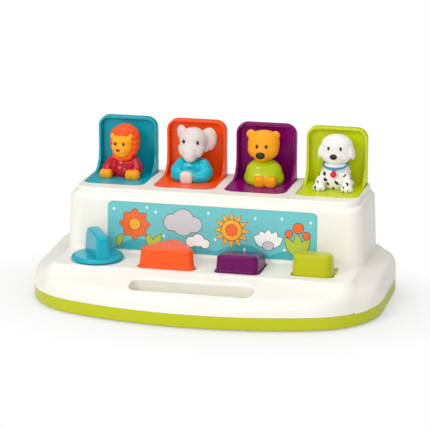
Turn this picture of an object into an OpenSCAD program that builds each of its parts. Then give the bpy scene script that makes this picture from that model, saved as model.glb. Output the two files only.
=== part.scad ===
// Pop up animal toy: four sprung lids with figures, each let go by its own control.
// Millimetres. +X to the right seen from the front, +Y to the back, +Z up.
// The origin is the middle of the footprint, on the surface that the toy stands on.

/* [Base] */
// Overall width of the base
base_w = 340; // [320:1:390]
// Overall depth of the base
base_d = 204; // [196:1:230]
// Radius of the bowed front edge
front_r = 380; // [320:5:600]
// Radius of the two front corners
front_corner_r = 75; // [45:1:75]
// Radius of the two rear corners
rear_corner_r = 45; // [25:1:55]
// Top of the base tray, where the housing starts
tray_top = 14; // [12:0.5:16]
// Wall of the tray and of the housing
wall = 2.4; // [1.8:0.1:3]
// Thickness of a rubber foot below the tray
foot_t = 1.2; // [0.8:0.1:2]
// Radius of a rubber foot
foot_r = 9; // [6:0.5:11]

/* [Deck] */
// Height of the flat deck that carries the controls
deck_z = 39.5; // [38:0.5:44]
// Height of the rim of the deck at its front
rim_front_z = 28.5; // [26:0.5:30]
// Height of the rim of the deck at its back
rim_rear_z = 38; // [34:0.5:38]
// Radius of the rounded rim
rim_r = 8; // [4:0.5:9]
// Length of the hand hold behind the front bar
handle_len = 118; // [90:1:130]
// Width of the hand hold
handle_gap = 21; // [16:0.5:23]
// Width of the bar in front of the hand hold
handle_bar = 15; // [12:0.5:18]

/* [Box] */
// Width of the box at its foot
box_w = 294; // [290:1:310]
// Height of the box
box_top = 100; // [96:0.5:108]
// Lean of the front face from foot to top
front_lean = 3.4; // [1:0.2:5]
// Step from the walls in to the raised top
top_inset = 4.5; // [3:0.5:6]

/* [Lids] */
// Distance from lid to lid
lid_pitch = 70.5; // [68:0.5:72]
// Width of one lid
lid_w = 60; // [54:0.5:60]
// Height of an open lid above the box
lid_h = 55.2; // [50:0.2:58]
// Depth of the raised rim of a lid
rim_depth = 8.5; // [6:0.5:10]
// Thickness of the rim of a lid
rim_t = 2.8; // [2:0.2:3.4]
// Thickness of the lid plates
lid_t = 2.2; // [1.8:0.1:2.3]
// Corner radius of a lid and of its window
lid_corner = 11; // [6:1:14]
// Radius of the hinge barrel
barrel_r = 4.8; // [4.6:0.1:5.2]
// Gap between a lid and its window
window_gap = 0.6; // [0.4:0.1:1]
// Radius of the steel rods
rod_r = 1.5; // [1.3:0.1:1.6]
// Running clearance of a bore on its rod
rod_fit = 0.05; // [0.03:0.01:0.1]

/* [Figures] */
// Radius of a figure's body
body_r = 19; // [16:0.5:19.5]
// Height of a figure's shoulders above the lid
shoulder_h = 16; // [14:0.5:17]
// Half width of a head
head_r = 15; // [13:0.5:15.5]
// Half height of a head
head_h = 17; // [15:0.5:17]

/* [Controls] */
// Radius of the turning knob
knob_r = 25.2; // [20:0.2:25.4]
// Turn of the knob that lets its lid go, in degrees
knob_turn = 40; // [30:1:45]
// Angle at which the blade of the knob stands, its rear end to the left
blade_angle = 32; // [20:1:40]
// Thickness of the blade of the knob
blade_t = 12.5; // [9:0.5:14]
// Width of the triangular button
button_w = 55.4; // [48:0.2:58]
// Distance of the triangular button to the right of its lid's middle
button_shift = 2; // [0:0.5:4]
// Travel of the triangular button
button_travel = 5; // [4:0.5:6]
// Travel of the sliding block
slide_travel = 6; // [5:0.5:6.5]
// Gap round a control in the deck
control_gap = 0.8; // [0.5:0.1:1.2]

/* [Hidden] */
$fn = 48;

warm_white = "#f4f1e8";
lime = "#c5cb28";
teal = "#12a0ae";
orange = "#ff6a2c";
purple = "#7a1168";
amber = "#fdb127";
crimson = "#c3022e";
steel = "#b8bcc0";

// Footprint and deck
half_w = base_w / 2;
front_y = -base_d / 2;
rear_y = base_d / 2;
bow_y = front_y + front_r;
corner_x = half_w - front_corner_r;
corner_y = bow_y - sqrt(pow(front_r - front_corner_r, 2) - pow(corner_x, 2));
corner_turn = atan2(corner_y - bow_y, corner_x);
deck_under = deck_z - wall;
deck_front_y = -54;
deck_inset = 3;
tray_floor = foot_t + wall;
handle_y = front_y + handle_bar + handle_gap / 2;
handle_r = 8;
collar_t = 2.2;

// Box and hinge line
box_front_y = 0.6;
box_rear_y = 97;
box_corner = 17;
box_shoulder_z = box_top - 9;
wall_top_z = box_top - 5.5;
top_front_y = 10;
lid_rear_y = 92;
pivot_y = lid_rear_y - barrel_r;
pivot_z = box_top - barrel_r;
lid_reach = lid_h + barrel_r;
window_front_y = pivot_y - lid_reach - window_gap;
window_rear_y = lid_rear_y + window_gap;
lid_x = [for (i = [0:3]) (i - 1.5) * lid_pitch];
part_t = 3;
part_x = [for (i = [-1:1]) i * lid_pitch];
end_x = 1.5 * lid_pitch + lid_w / 2 + window_gap + part_t / 2;
rod_half = end_x + 0.9;

// Latches: one lever a lid, all on one rod behind the front wall
latch_y = 15.5;
latch_z = 58;
arm_x = 18.5;
arm_w = 7;
latch_hub_r = 5;
arm_front_y = 17;
arm_t = 3.5;
nose_z = pivot_z - 0.2;
nose_reach = 2.4;
toe_z = 18;
toe_h = 6;
toe_w = 8;
toe_y = 10;
leg_t = 3.5;
touch_gap = 0.4;

// Controls, each in front of its own lid
knob_y = -25;
button_front_y = -46;
button_back_y = -3;
button_top = 58.3;
key_front_y = -45;
key_back_y = -3;
key_w = 42;
key_top = 56;
key_back_top = 50;
key_pin_y = -7;
key_pin_z = 34.5;
slide_front_y = -38;
slide_depth = 21;
slide_w = 39;
slide_top = 59;
slide_opening_y = -1.5;
plate_t = 3;
plate_y = slide_front_y - slide_travel - 1.5;

// Screws that hold the tray to the housing
screw_r = 1.4;
screw_head_r = 3.4;
boss_r = 4.5;
screw_at = [for (s = [-1, 1]) each [[s * 152, 62], [s * 140, -36], [s * lid_pitch, 86], [s * 88, -74]]];
foot_at = [for (s = [-1, 1]) each [[s * 128, 72], [s * 108, -52]]];

function arc(cx, cy, r, from, to, n) =
    [for (i = [0:n]) let (a = from + (to - from) * i / n) [cx + r * cos(a), cy + r * sin(a)]];

// The footprint drawn in by inset all round
function footprint(inset) = concat(
    arc(0, bow_y, front_r - inset, -180 - corner_turn, corner_turn, 8),
    arc(corner_x, corner_y, front_corner_r - inset, corner_turn, 0, 8),
    arc(half_w - rear_corner_r, rear_y - rear_corner_r, rear_corner_r - inset, 0, 90, 6),
    arc(rear_corner_r - half_w, rear_y - rear_corner_r, rear_corner_r - inset, 90, 180, 6),
    arc(-corner_x, corner_y, front_corner_r - inset, 180, 180 - corner_turn, 8));

// A rectangle from [x0, y0] to [x1, y1] with its front and its rear corners rounded
function slab_outline(x0, y0, x1, y1, rf, rr) = concat(
    arc(x0 + rf, y0 + rf, rf, 180, 270, 6), arc(x1 - rf, y0 + rf, rf, 270, 360, 6),
    arc(x1 - rr, y1 - rr, rr, 0, 90, 6), arc(x0 + rr, y1 - rr, rr, 90, 180, 6));

module ring(points, z) {
    translate([0, 0, z]) linear_extrude(0.01) polygon(points);
}

// A ring that rises with the deck from its front to its back
module rim_ring(inset, drop) {
    low = rim_front_z - drop;
    rise = (rim_rear_z - rim_front_z) / base_d;
    translate([0, front_y, low]) rotate([atan(rise), 0, 0]) translate([0, -front_y, 0])
        linear_extrude(0.01) polygon(footprint(inset));
}

module deck_form(in, top) {
    hull() {
        ring(footprint(in), tray_top - (in > 0 ? 1 : 0));
        rim_ring(in, rim_r + in);
        rim_ring(in + rim_r * 0.3, rim_r * 0.3 + in);
        rim_ring(in + rim_r, in);
        ring(slab_outline(-box_w / 2 + in, deck_front_y + in, box_w / 2 - in, box_rear_y - 2, 14, 14), top - 1.6);
        ring(slab_outline(-box_w / 2 + deck_inset + in, deck_front_y + deck_inset + in,
            box_w / 2 - deck_inset - in, box_rear_y - 4, 12, 12), top - 0.01);
    }
}

function box_outline(in, lean) = slab_outline(-box_w / 2 + in + lean * 0.7, box_front_y + in + lean,
    box_w / 2 - in - lean * 0.7, box_rear_y - in - lean * 0.2, box_corner - in / 2, box_corner - in / 2);

module box_walls(in) {
    hull() {
        ring(box_outline(in, 0), in > 0 ? 20 : 30);
        ring(box_outline(in, front_lean), box_shoulder_z - (in > 0 ? 1 : 0));
        ring(box_outline(in + 1.6, front_lean), wall_top_z - in);
    }
}

function top_outline(in) = slab_outline(-box_w / 2 + front_lean + top_inset + in, top_front_y + in,
    box_w / 2 - front_lean - top_inset - in, box_rear_y - 1.4 - in / 3, box_corner - 2, 10);

module box_cap(in) {
    hull() {
        ring(top_outline(in), wall_top_z - 6);
        ring(top_outline(in), box_top - 1.6 - in);
        ring(top_outline(in + 1.4), box_top - 0.01 - in);
    }
}

module x_bar(r, from, to, y, z) {
    translate([from, y, z]) rotate([0, 90, 0]) cylinder(r = r, h = to - from);
}

// ---- Base ----

module base_tray() {
    color(lime) difference() {
        union() {
            difference() {
                translate([0, 0, foot_t]) linear_extrude(tray_top - foot_t) polygon(footprint(0));
                translate([0, 0, tray_floor]) linear_extrude(tray_top) polygon(footprint(wall));
            }
            for (p = screw_at) translate([p[0], p[1], foot_t]) cylinder(r = boss_r, h = tray_top - foot_t);
            handle_prism(collar_t, foot_t, tray_top);
            translate([lid_x[1], button_spring_y, foot_t]) cylinder(r = 8, h = spring_seat_z - foot_t);
            translate([lid_x[2], key_spring_y, foot_t]) cylinder(r = 8, h = spring_seat_z - foot_t);
        }
        handle_prism(0, -1, tray_top + 1);
        for (p = screw_at) translate([p[0], p[1], 0]) {
            cylinder(r = screw_r + 0.3, h = tray_top + 1);
            cylinder(r = screw_head_r + 0.4, h = screw_seat_z);
        }
        for (p = foot_at) translate([p[0], p[1], 0]) cylinder(r = 3.05, h = tray_top);
        translate([lid_x[1], button_spring_y, tray_floor]) cylinder(r = stem_r + 0.3, h = tray_top + 10);
    }
}
screw_seat_z = 6;
spring_seat_z = 20;
stem_r = 2.6;
button_spring_y = -24;
key_spring_y = -36;

module handle_prism(grow, from, to) {
    translate([0, 0, from]) linear_extrude(to - from)
        polygon(slab_outline(-handle_len / 2 - grow, handle_y - handle_gap / 2 - grow,
            handle_len / 2 + grow, handle_y + handle_gap / 2 + grow, handle_r + grow, handle_r + grow));
}

module feet() {
    color("#3a3c3e") for (p = foot_at) translate([p[0], p[1], 0]) {
        cylinder(r = foot_r, h = foot_t);
        cylinder(r = 3, h = tray_floor + 0.6);
    }
}

module tray_screws() {
    color(steel) for (p = screw_at) translate([p[0], p[1], 0]) {
        translate([0, 0, screw_seat_z - 2.2]) cylinder(r = screw_head_r, h = 2.2);
        translate([0, 0, screw_seat_z - 0.5]) cylinder(r = screw_r, h = 16);
    }
}

// ---- Housing ----

module partitions() {
    for (x = concat(part_x, [-end_x, end_x])) translate([x - part_t / 2, 0, 50]) cube([part_t, 96, box_top - 52]);
    // Bosses on two partitions take the rear screws
    for (s = [-1, 1]) translate([s * lid_pitch, 86, 10]) cylinder(r = boss_r, h = 42);
    // Ledges behind the lids on which the lid springs bear
    for (x = lid_x) translate([x + spring_len / 2 - 2, spring_ledge_y, pivot_z - 17.2]) cube([6, 8, 7]);
}
spring_ledge_y = pivot_y + 2.8;

module housing_kept() {
    partitions();
    handle_prism(collar_t, tray_top - 2, 60);
    for (p = screw_at) translate([p[0], p[1], tray_top - 2]) cylinder(r = boss_r, h = p[1] > 80 ? 38 : 30);
    // Sleeve in which the knob's cam turns
    translate([lid_x[0], knob_y, 27]) cylinder(r = cam_hub_r + 2.1, h = 12);
    // Lugs that hold the rocker key's pin
    for (s = [-1, 1]) translate([lid_x[2] + s * (key_w / 2 + 3) - 1.5, key_pin_y - 4, 30.5]) cube([3, 8, 8]);
    // Rails under the deck in which the sliding block's plate runs
    for (s = [-1, 1]) translate([lid_x[3] + s * (slide_plate_w / 2 + 1.9) - 1.5, -47, 31.5]) cube([3, 43, 6]);
    for (s = [-1, 1]) translate([lid_x[3] + s * (slide_plate_w / 2 + 0.4) - 1.5, -47, 31.5]) cube([3, 43, 2]);
    // Stops that the lower arms of the latches rest on
    for (x = lid_x) translate([x - 3, 1, 44]) cube([6, latch_y - leg_t / 2 - 0.3 - 1, 5]);
    // Pegs that centre the latch springs
    for (x = lid_x) translate([x + arm_x, 3, latch_spring_z]) rotate([-90, 0, 0]) cylinder(r = 2, h = 7);
}
cam_hub_r = 9;
slide_plate_w = slide_w + 8;
latch_spring_z = 80;

module housing() {
    color(warm_white) difference() {
        union() {
            deck_form(0, deck_z);
            box_walls(0);
            box_cap(0);
        }
        difference() {
            union() {
                deck_form(wall, deck_under);
                box_walls(wall);
                box_cap(wall + 0.2);
            }
            housing_kept();
        }
        for (x = lid_x) translate([0, 0, box_top - 10]) linear_extrude(20)
            polygon(slab_outline(x - lid_w / 2 - window_gap, window_front_y, x + lid_w / 2 + window_gap,
                window_rear_y, lid_corner, 1));
        x_bar(rod_r + rod_fit, -rod_half - 0.3, rod_half + 0.3, pivot_y, pivot_z);
        x_bar(rod_r + rod_fit, -rod_half - 0.3, rod_half + 0.3, latch_y, latch_z);
        handle_prism(0, 0, 60);
        for (p = screw_at) translate([p[0], p[1], 0]) cylinder(r = screw_r + 0.05, h = 24);
        translate([lid_x[0], knob_y, 0]) {
            cylinder(r = knob_shaft_r + 0.4, h = 60);
            cylinder(r = cam_hub_r + 0.08, h = deck_under);
        }
        triangle_prism(control_gap, deck_z - 8, deck_z + 3);
        translate([0, 0, deck_z - 8]) linear_extrude(12)
            polygon(slab_outline(lid_x[2] - key_w / 2 - control_gap, key_front_y - control_gap,
                lid_x[2] + key_w / 2 + control_gap, key_back_y + control_gap, 5, 3));
        x_bar(rod_r + rod_fit, lid_x[2] - key_w / 2 - 5, lid_x[2] + key_w / 2 + 5, key_pin_y, key_pin_z);
        translate([0, 0, deck_z - 8]) linear_extrude(12)
            polygon(slab_outline(lid_x[3] - slide_w / 2 - control_gap, slide_front_y - control_gap,
                lid_x[3] + slide_w / 2 + control_gap, slide_opening_y, 5, 3));
        label_place() translate([-label_w / 2 - 0.4, -1, -label_h / 2 - 0.4])
            cube([label_w + 0.8, 1 + label_sink, label_h + 0.8]);
    }
}

// ---- Label ----

label_w = 206;
label_h = 47;
label_t = 0.8;
label_sink = 0.5;
label_z = 65.9;
lean_angle = atan(front_lean / (box_shoulder_z - 30));

module label_place() {
    translate([0, box_front_y + (label_z - 30) * tan(lean_angle), label_z]) rotate([-lean_angle, 0, 0]) children();
}

module label_panel() {
    color("#6fc9cb") label_place() translate([0, label_sink, 0]) rotate([90, 0, 0]) linear_extrude(label_t)
        polygon(slab_outline(-label_w / 2, -label_h / 2, label_w / 2, label_h / 2, 5, 5));
}

// ---- Rods ----

module hinge_rod() {
    color(steel) x_bar(rod_r, -rod_half, rod_half, pivot_y, pivot_z);
}

module latch_rod() {
    color(steel) x_bar(rod_r, -rod_half, rod_half, latch_y, latch_z);
}

module rocker_pin() {
    color(steel) x_bar(rod_r, lid_x[2] - key_w / 2 - 4.4, lid_x[2] + key_w / 2 + 4.4, key_pin_y, key_pin_z);
}

// ---- Lids ----

spring_turns = 5;
spring_wire = 0.7;
spring_pitch = 1.3;
spring_mean_r = rod_r + 0.55;
spring_len = spring_turns * spring_pitch;
spring_pocket = spring_len + 6;
catch_w = 9;
tongue_x = [14 - lid_w / 2, 4];
tongue_w = 8;
flare_r = 20;

// One lid, drawn open, with its hinge axis on the X axis
module lid_form() {
    inner = barrel_r - lid_t;
    difference() {
        union() {
            // Upright plate and its rim
            difference() {
                rotate([90, 0, 0]) translate([0, 0, -barrel_r]) linear_extrude(rim_depth)
                    polygon(slab_outline(-lid_w / 2, 0, lid_w / 2, lid_reach, 0.01, lid_corner));
                rotate([90, 0, 0]) translate([0, 0, -inner]) linear_extrude(rim_depth)
                    polygon(slab_outline(-lid_w / 2 + rim_t, barrel_r, lid_w / 2 - rim_t, lid_reach - rim_t,
                        0.01, lid_corner - rim_t));
                translate([-lid_w, -rim_depth, -1]) cube([2 * lid_w, rim_depth, 1 + inner]);
            }
            // Floor, level with the top of the box
            translate([0, 0, inner]) linear_extrude(lid_t)
                polygon(slab_outline(-lid_w / 2, -lid_reach, lid_w / 2, barrel_r, lid_corner, 0.01));
            // Side webs that sweep forward from the rim into the floor
            for (s = [-1, 1]) translate([s * (lid_w / 2 - rim_t / 2) - rim_t / 2, 0, 0]) rotate([90, 0, 90])
                linear_extrude(rim_t) polygon(concat([[0, inner], [0, barrel_r + flare_r + 0.1]],
                    arc(barrel_r - rim_depth - flare_r, barrel_r + flare_r, flare_r, 0, -90, 10),
                    [[barrel_r - rim_depth - flare_r, inner]]));
            x_bar(barrel_r, -lid_w / 2, lid_w / 2, 0, 0);
            // Tongues that stop the open lid under the top of the box
            for (x = tongue_x) translate([x - tongue_w / 2, -lid_reach - 2.6, 0]) {
                cube([tongue_w, 6, 2]);
                translate([0, 2.8, 0]) cube([tongue_w, 3.2, inner + 0.1]);
            }
        }
        x_bar(rod_r + rod_fit, -lid_w, lid_w, 0, 0);
        // Pocket for the spring
        translate([-spring_pocket / 2, -barrel_r - 1, -barrel_r - 1])
            cube([spring_pocket, barrel_r + 1 + inner, barrel_r + 1 + inner]);
        // Slot in the top rim that the latch catches
        translate([arm_x - catch_w / 2, -1.5, lid_reach - rim_t - 1]) cube([catch_w, 2.6, rim_t + 2]);
    }
}

module lid(i, tint) {
    color(tint) translate([lid_x[i], pivot_y, pivot_z]) lid_form();
}

// ---- Springs ----

// A round wire of six sides along a list of points
module wire(points, r) {
    n = len(points);
    sides = 6;
    function unit(v) = v / norm(v);
    function along(i) = unit(points[min(i + 1, n - 1)] - points[max(i - 1, 0)]);
    side0 = [1, 0, 0];
    pts = [for (i = [0:n - 1])
        let (t = along(i), s = unit(side0 - (side0 * t) * t), u = cross(t, s))
        for (k = [0:sides - 1]) points[i] + r * (cos(60 * k) * s + sin(60 * k) * u)];
    walls = [for (i = [0:n - 2]) for (k = [0:sides - 1])
        let (a = i * sides + k, b = i * sides + (k + 1) % sides)
        each [[a, a + sides, b], [b, a + sides, b + sides]]];
    caps = [for (k = [1:sides - 2]) each [[0, k, k + 1],
        [(n - 1) * sides, (n - 1) * sides + k + 1, (n - 1) * sides + k]]];
    polyhedron(points = pts, faces = concat(walls, caps));
}

// Coil of the lid spring from under the floor to the ledge behind, about the X axis
function lid_spring_points(leg) = let (r = spring_mean_r, steps = spring_turns * 8 + 2) concat(
    [[-spring_len / 2, -leg, r], [-spring_len / 2, -spring_wire, r]],
    [for (i = [0:steps]) let (a = 90 - i * 45)
        [-spring_len / 2 + spring_len * i / steps, r * cos(a), r * sin(a)]],
    [[spring_len / 2, r, -spring_wire], [spring_len / 2, r, -leg]]);

module lid_spring(i) {
    color(steel) translate([lid_x[i], pivot_y, pivot_z]) wire(lid_spring_points(14), spring_wire / 2);
}

// A compression spring up the Z axis from 0 to h
function coil_points(r, h, turns, d) = let (steps = turns * 8) concat(
    [[r, -d, d / 2]],
    [for (i = [0:steps]) let (a = i * 45) [r * cos(a), r * sin(a), d / 2 + (h - d) * i / steps]],
    [[r, d, h - d / 2]]);

module coil(r, h, turns, d) {
    rotate([0, 90, 0]) wire([for (p = coil_points(r, h, turns, d)) [-p[2], p[1], p[0]]], d / 2);
}

// Least gap from one turn of a wire to the next, on its points
function turn_gap(points, d) = let (n = len(points))
    min([for (i = [0:n - 1]) for (j = [i + 6:1:n - 1]) norm(points[i] - points[j])]) - d;
latch_spring_turns = 5;
latch_spring_d = 0.7;
latch_spring_r = 3;
latch_spring_y0 = 6.3;
button_spring_d = 0.9;
button_spring_r = 5.4;
button_spring_turns = 6;
union() {
    echo("lid spring gap", turn_gap(lid_spring_points(14), spring_wire));
    echo("latch spring gap", turn_gap(coil_points(latch_spring_r, arm_front_y - latch_spring_y0,
        latch_spring_turns, latch_spring_d), latch_spring_d));
    echo("button spring gap", turn_gap(coil_points(button_spring_r, flange_z - spring_seat_z,
        button_spring_turns, button_spring_d), button_spring_d));
}

module latch_spring(i) {
    color(steel) translate([lid_x[i] + arm_x, latch_spring_y0, latch_spring_z]) rotate([-90, 0, 0])
        coil(latch_spring_r, arm_front_y - latch_spring_y0 - 0.05, latch_spring_turns, latch_spring_d);
}

module button_spring() {
    color(steel) translate([lid_x[1], button_spring_y, spring_seat_z])
        coil(button_spring_r, flange_z - spring_seat_z - 0.05, button_spring_turns, button_spring_d);
}

module key_spring() {
    color(steel) translate([lid_x[2], key_spring_y, spring_seat_z])
        coil(button_spring_r, key_foot_z - spring_seat_z - 0.05, button_spring_turns, button_spring_d);
}

// ---- Latches ----

// Lever with a nose that enters the slot of a closed lid and a toe that its control pushes.
// The arm stands to one side of the toe, so that the nose clears the figure's head.
module latch(i) {
    arm_back = arm_front_y + arm_t;
    nose_y = pivot_y - lid_reach + nose_reach;
    color("#d8d4c8") difference() {
        union() {
            x_bar(latch_hub_r, lid_x[i] - toe_w / 2 - 1, lid_x[i] + arm_x + arm_w / 2, latch_y, latch_z);
            translate([lid_x[i] + arm_x - arm_w / 2, 0, 0]) rotate([90, 0, 90]) linear_extrude(arm_w)
                polygon([[latch_y, latch_z], [arm_front_y, latch_z + 3], [arm_front_y, nose_z - 11],
                    [arm_back + 0.1, nose_z - 0.4], [arm_back + 1.5, nose_z + 0.8], [nose_y, nose_z + 0.3],
                    [nose_y, nose_z - 0.6], [arm_back + 5, nose_z - 1.2], [arm_back + 2, nose_z - 4],
                    [arm_back, nose_z - 11], [arm_back, latch_z]]);
            translate([lid_x[i] - toe_w / 2, 0, 0]) rotate([90, 0, 90]) linear_extrude(toe_w)
                polygon([[latch_y - leg_t / 2, latch_z], [latch_y + leg_t / 2, latch_z],
                    [latch_y + leg_t / 2, toe_z - toe_h / 2], [toe_y, toe_z - toe_h / 2],
                    [toe_y, toe_z + toe_h / 2], [latch_y - leg_t / 2, toe_z + toe_h / 2]]);
        }
        x_bar(rod_r + rod_fit, lid_x[i] - lid_w / 2, lid_x[i] + lid_w / 2, latch_y, latch_z);
    }
}

// ---- Controls ----

knob_shaft_r = 6;
knob_lift = 0.4;
cam_z = 16;
cam_t = 4;
cam_rise = 3.4;
cam_r = toe_y - touch_gap - 0.3 - knob_y;
cam_floor = 23;

module knob() {
    color(teal) translate([lid_x[0], knob_y, 0]) {
        difference() {
            union() {
                translate([0, 0, deck_z + knob_lift]) rotate_extrude()
                    polygon([[0, 0], [knob_r, 0], [knob_r, 2], [knob_r - 1.8, 4.2], [0, 4.2]]);
                translate([0, 0, cam_floor + 0.1]) cylinder(r = knob_shaft_r, h = deck_z - cam_floor + 1);
                rotate([0, 0, blade_angle]) knob_fin();
            }
            translate([0, 0, cam_floor - 1]) cylinder(r = screw_r + 0.05, h = 13);
        }
    }
}

// Blade that the hand turns, rounded at its back and upright at its front
module knob_fin() {
    translate([-blade_t / 2, 0, deck_z + 4]) rotate([90, 0, 90]) linear_extrude(blade_t)
        polygon(concat([[-21.5, 0], [21.5, 0], [21, 17]], arc(11, 14.5, 10, 20, 90, 6),
            [[-14, 23.4], [-18.6, 21.6], [-20.8, 17.5]]));
}

module knob_cam() {
    color("#d8d4c8") translate([lid_x[0], knob_y, 0]) difference() {
        union() {
            translate([0, 0, cam_z + cam_t]) cylinder(r = cam_hub_r, h = deck_under - 0.3 - cam_z - cam_t);
            translate([0, 0, cam_z]) linear_extrude(cam_t) polygon(concat([[0, -cam_hub_r], [cam_hub_r, 0]],
                [for (a = [90 - knob_turn - 10:5:100])
                    let (r = cam_r + cam_rise * max(0, 90 - a) / knob_turn) [r * cos(a), r * sin(a)]],
                [[-cam_hub_r, 0]]));
        }
        translate([0, 0, cam_floor]) cylinder(r = knob_shaft_r + 0.02, h = 30);
        cylinder(r = screw_r + 0.3, h = 30);
        cylinder(r = screw_head_r + 0.3, h = 20);
    }
}

module knob_screw() {
    color(steel) translate([lid_x[0], knob_y, 0]) {
        translate([0, 0, 17.8]) cylinder(r = screw_head_r, h = 2.2);
        translate([0, 0, 19.5]) cylinder(r = screw_r, h = 15);
    }
}

// Outline of the triangular button, its point to the back
button_corner = 7;
module triangle_prism(grow, from, to) {
    r = button_corner;
    translate([lid_x[1] + button_shift, 0, from]) linear_extrude(to - from) offset(r = grow) hull() {
        for (s = [-1, 1]) translate([s * (button_w / 2 - r), button_front_y + r]) circle(r = r, $fn = 32);
        translate([0, button_back_y - r]) circle(r = r, $fn = 32);
    }
}

flange_z = 34.2;
flange_t = 2.6;
wedge_slope = 0.7;

module triangle_button() {
    color(orange) {
        hull() {
            triangle_prism(0, flange_z, deck_z + 3);
            triangle_prism(-1.6, deck_z + 3, button_top - 2);
            triangle_prism(-3.6, button_top - 2, button_top);
        }
        intersection() {
            triangle_prism(4, flange_z, flange_z + flange_t);
            translate([lid_x[1] - 60, button_front_y - 3, 0]) cube([120, 44, 60]);
        }
        translate([lid_x[1], button_spring_y, stem_foot_z]) cylinder(r = stem_r, h = flange_z - stem_foot_z + 1);
        // Wedge that pushes the latch toe back as the button goes down
        translate([lid_x[1] - 3, 0, 0]) rotate([90, 0, 90]) linear_extrude(6)
            polygon([[-14, flange_z + 1], [12.8, flange_z + 1], [12.8, wedge_top], [wedge_foot_y, wedge_foot],
                [wedge_foot_y - 5, wedge_foot], [-14, flange_z - 2]]);
    }
}
stem_foot_z = tray_floor + 1.4 + button_travel;
wedge_foot = 13;
key_foot_z = 33;
wedge_foot_y = toe_y - touch_gap - 0.1 + (wedge_foot - toe_z - toe_h / 2) * wedge_slope;
wedge_top = toe_z + toe_h / 2 + (12.8 - toe_y + touch_gap + 0.1) / wedge_slope;

module rocker_key() {
    x0 = lid_x[2] - key_w / 2;
    x1 = lid_x[2] + key_w / 2;
    color(purple) difference() {
        union() {
            hull() {
                ring(slab_outline(x0, key_front_y, x1, key_back_y, 5, 4), key_foot_z);
                ring(slab_outline(x0, key_front_y, x1, key_back_y, 5, 4), deck_z + 1);
                ring(slab_outline(x0 + 0.8, key_front_y + 1.8, x1 - 0.8, key_back_y - 1, 5, 4), key_back_top - 3);
                ring(slab_outline(x0 + 2.6, key_front_y + 6, x1 - 2.6, key_back_y - 3, 4, 4), key_back_top);
                ring(slab_outline(x0 + 1, key_front_y + 2.2, x1 - 1, key_front_y + 18, 5, 4), key_top - 4);
                ring(slab_outline(x0 + 3, key_front_y + 4.2, x1 - 3, key_front_y + 15, 4, 4), key_top);
            }
            x_bar(3.4, x0 + 1, x1 - 1, key_pin_y, key_pin_z);
            // Arm that pushes the latch toe
            translate([lid_x[2] - 4, 0, 0]) rotate([90, 0, 90]) linear_extrude(8)
                polygon([[-13, 34], [key_pin_y + 2, 34], [toe_y - touch_gap, toe_z + 2.4],
                    [toe_y - touch_gap, toe_z - 2.4], [3, toe_z - 2.4]]);
        }
        x_bar(rod_r + rod_fit, x0 - 1, x1 + 1, key_pin_y, key_pin_z);
    }
}

module slide_block() {
    x0 = lid_x[3] - slide_w / 2;
    x1 = lid_x[3] + slide_w / 2;
    y1 = slide_front_y + slide_depth;
    color(lime) {
        hull() {
            ring(slab_outline(x0, slide_front_y, x1, y1, 6, 6), deck_under - 0.3);
            ring(slab_outline(x0 + 0.4, slide_front_y + 0.4, x1 - 0.4, y1 - 0.4, 6, 6), slide_top - 4);
            ring(slab_outline(x0 + 1.4, slide_front_y + 1.4, x1 - 1.4, y1 - 1.4, 6, 6), slide_top - 1.2);
            ring(slab_outline(x0 + 3.6, slide_front_y + 3.6, x1 - 3.6, y1 - 3.6, 5, 5), slide_top);
        }
        translate([lid_x[3] - slide_plate_w / 2, plate_y, deck_under - 0.3 - plate_t])
            cube([slide_plate_w, 4 - plate_y, plate_t]);
        translate([lid_x[3] - 4, -10, toe_z - 2.4])
            cube([8, toe_y - touch_gap + 10, deck_under - 0.3 - plate_t - toe_z + 3]);
    }
}

// ---- Figures ----

figure_y = 68;
head_y = 71;
shoulder_z = box_top + shoulder_h;
head_z = box_top + 34.5;
neck_r = 8;

module figure_body() {
    translate([0, figure_y, box_top]) rotate_extrude()
        polygon([[0, 0], [body_r, 0], [body_r, 4], [body_r - 1, 8], [body_r - 3.5, 12], [12, shoulder_h],
            [0, shoulder_h]]);
}

// A paw resting on the lid in front of the body
module paw(x, r) {
    translate([x, figure_y - body_r + 1, box_top]) difference() {
        sphere(r = r);
        translate([-r, -r, -2 * r]) cube(2 * r);
    }
}

module figure_head() {
    difference() {
        translate([0, head_y, head_z]) rotate_extrude()
            polygon([for (a = [-90:12:90]) [head_r * cos(a), head_h * sin(a)]]);
        translate([-20, head_y - 20, box_top + 10]) cube([40, 40, shoulder_h - 7.7]);
    }
    translate([0, figure_y, shoulder_z]) cylinder(r = neck_r, h = 8);
}

module lion_body() {
    color(crimson) translate([lid_x[0], 0, 0]) {
        figure_body();
        for (s = [-1, 1]) paw(s * 13, 6.5);
    }
}

module lion_head() {
    color(orange) translate([lid_x[0], 0, 0]) {
        figure_head();
        translate([0, head_y - 9, head_z - 6]) sphere(r = 9);
        for (s = [-1, 1]) translate([s * 11, head_y - 5, head_z + 9]) sphere(r = 4);
    }
}

module elephant_body() {
    color("#1db9cb") translate([lid_x[1], 0, 0]) {
        figure_body();
        for (s = [-1, 1]) paw(s * 11, 7);
    }
}

module elephant_head() {
    color("#ded6d3") translate([lid_x[1], 0, 0]) {
        figure_head();
        for (s = [-1, 1]) translate([s * 13, head_y + 2, head_z + 2]) rotate([90, 0, 0]) cylinder(r = 9.5, h = 4);
        translate([0, head_y - 13, head_z - 9]) sphere(r = 5.5);
        translate([0, head_y - 16, head_z - 13.5]) sphere(r = 4.2);
    }
}

module bear_body() {
    color(lime) translate([lid_x[2], 0, 0]) {
        figure_body();
        for (s = [-1, 1]) paw(s * 6, 6);
    }
}

module bear_head() {
    color(amber) translate([lid_x[2], 0, 0]) {
        figure_head();
        translate([0, head_y - 9, head_z - 5]) sphere(r = 8);
        for (s = [-1, 1]) translate([s * 12, head_y, head_z + 12]) sphere(r = 5);
    }
}

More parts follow.
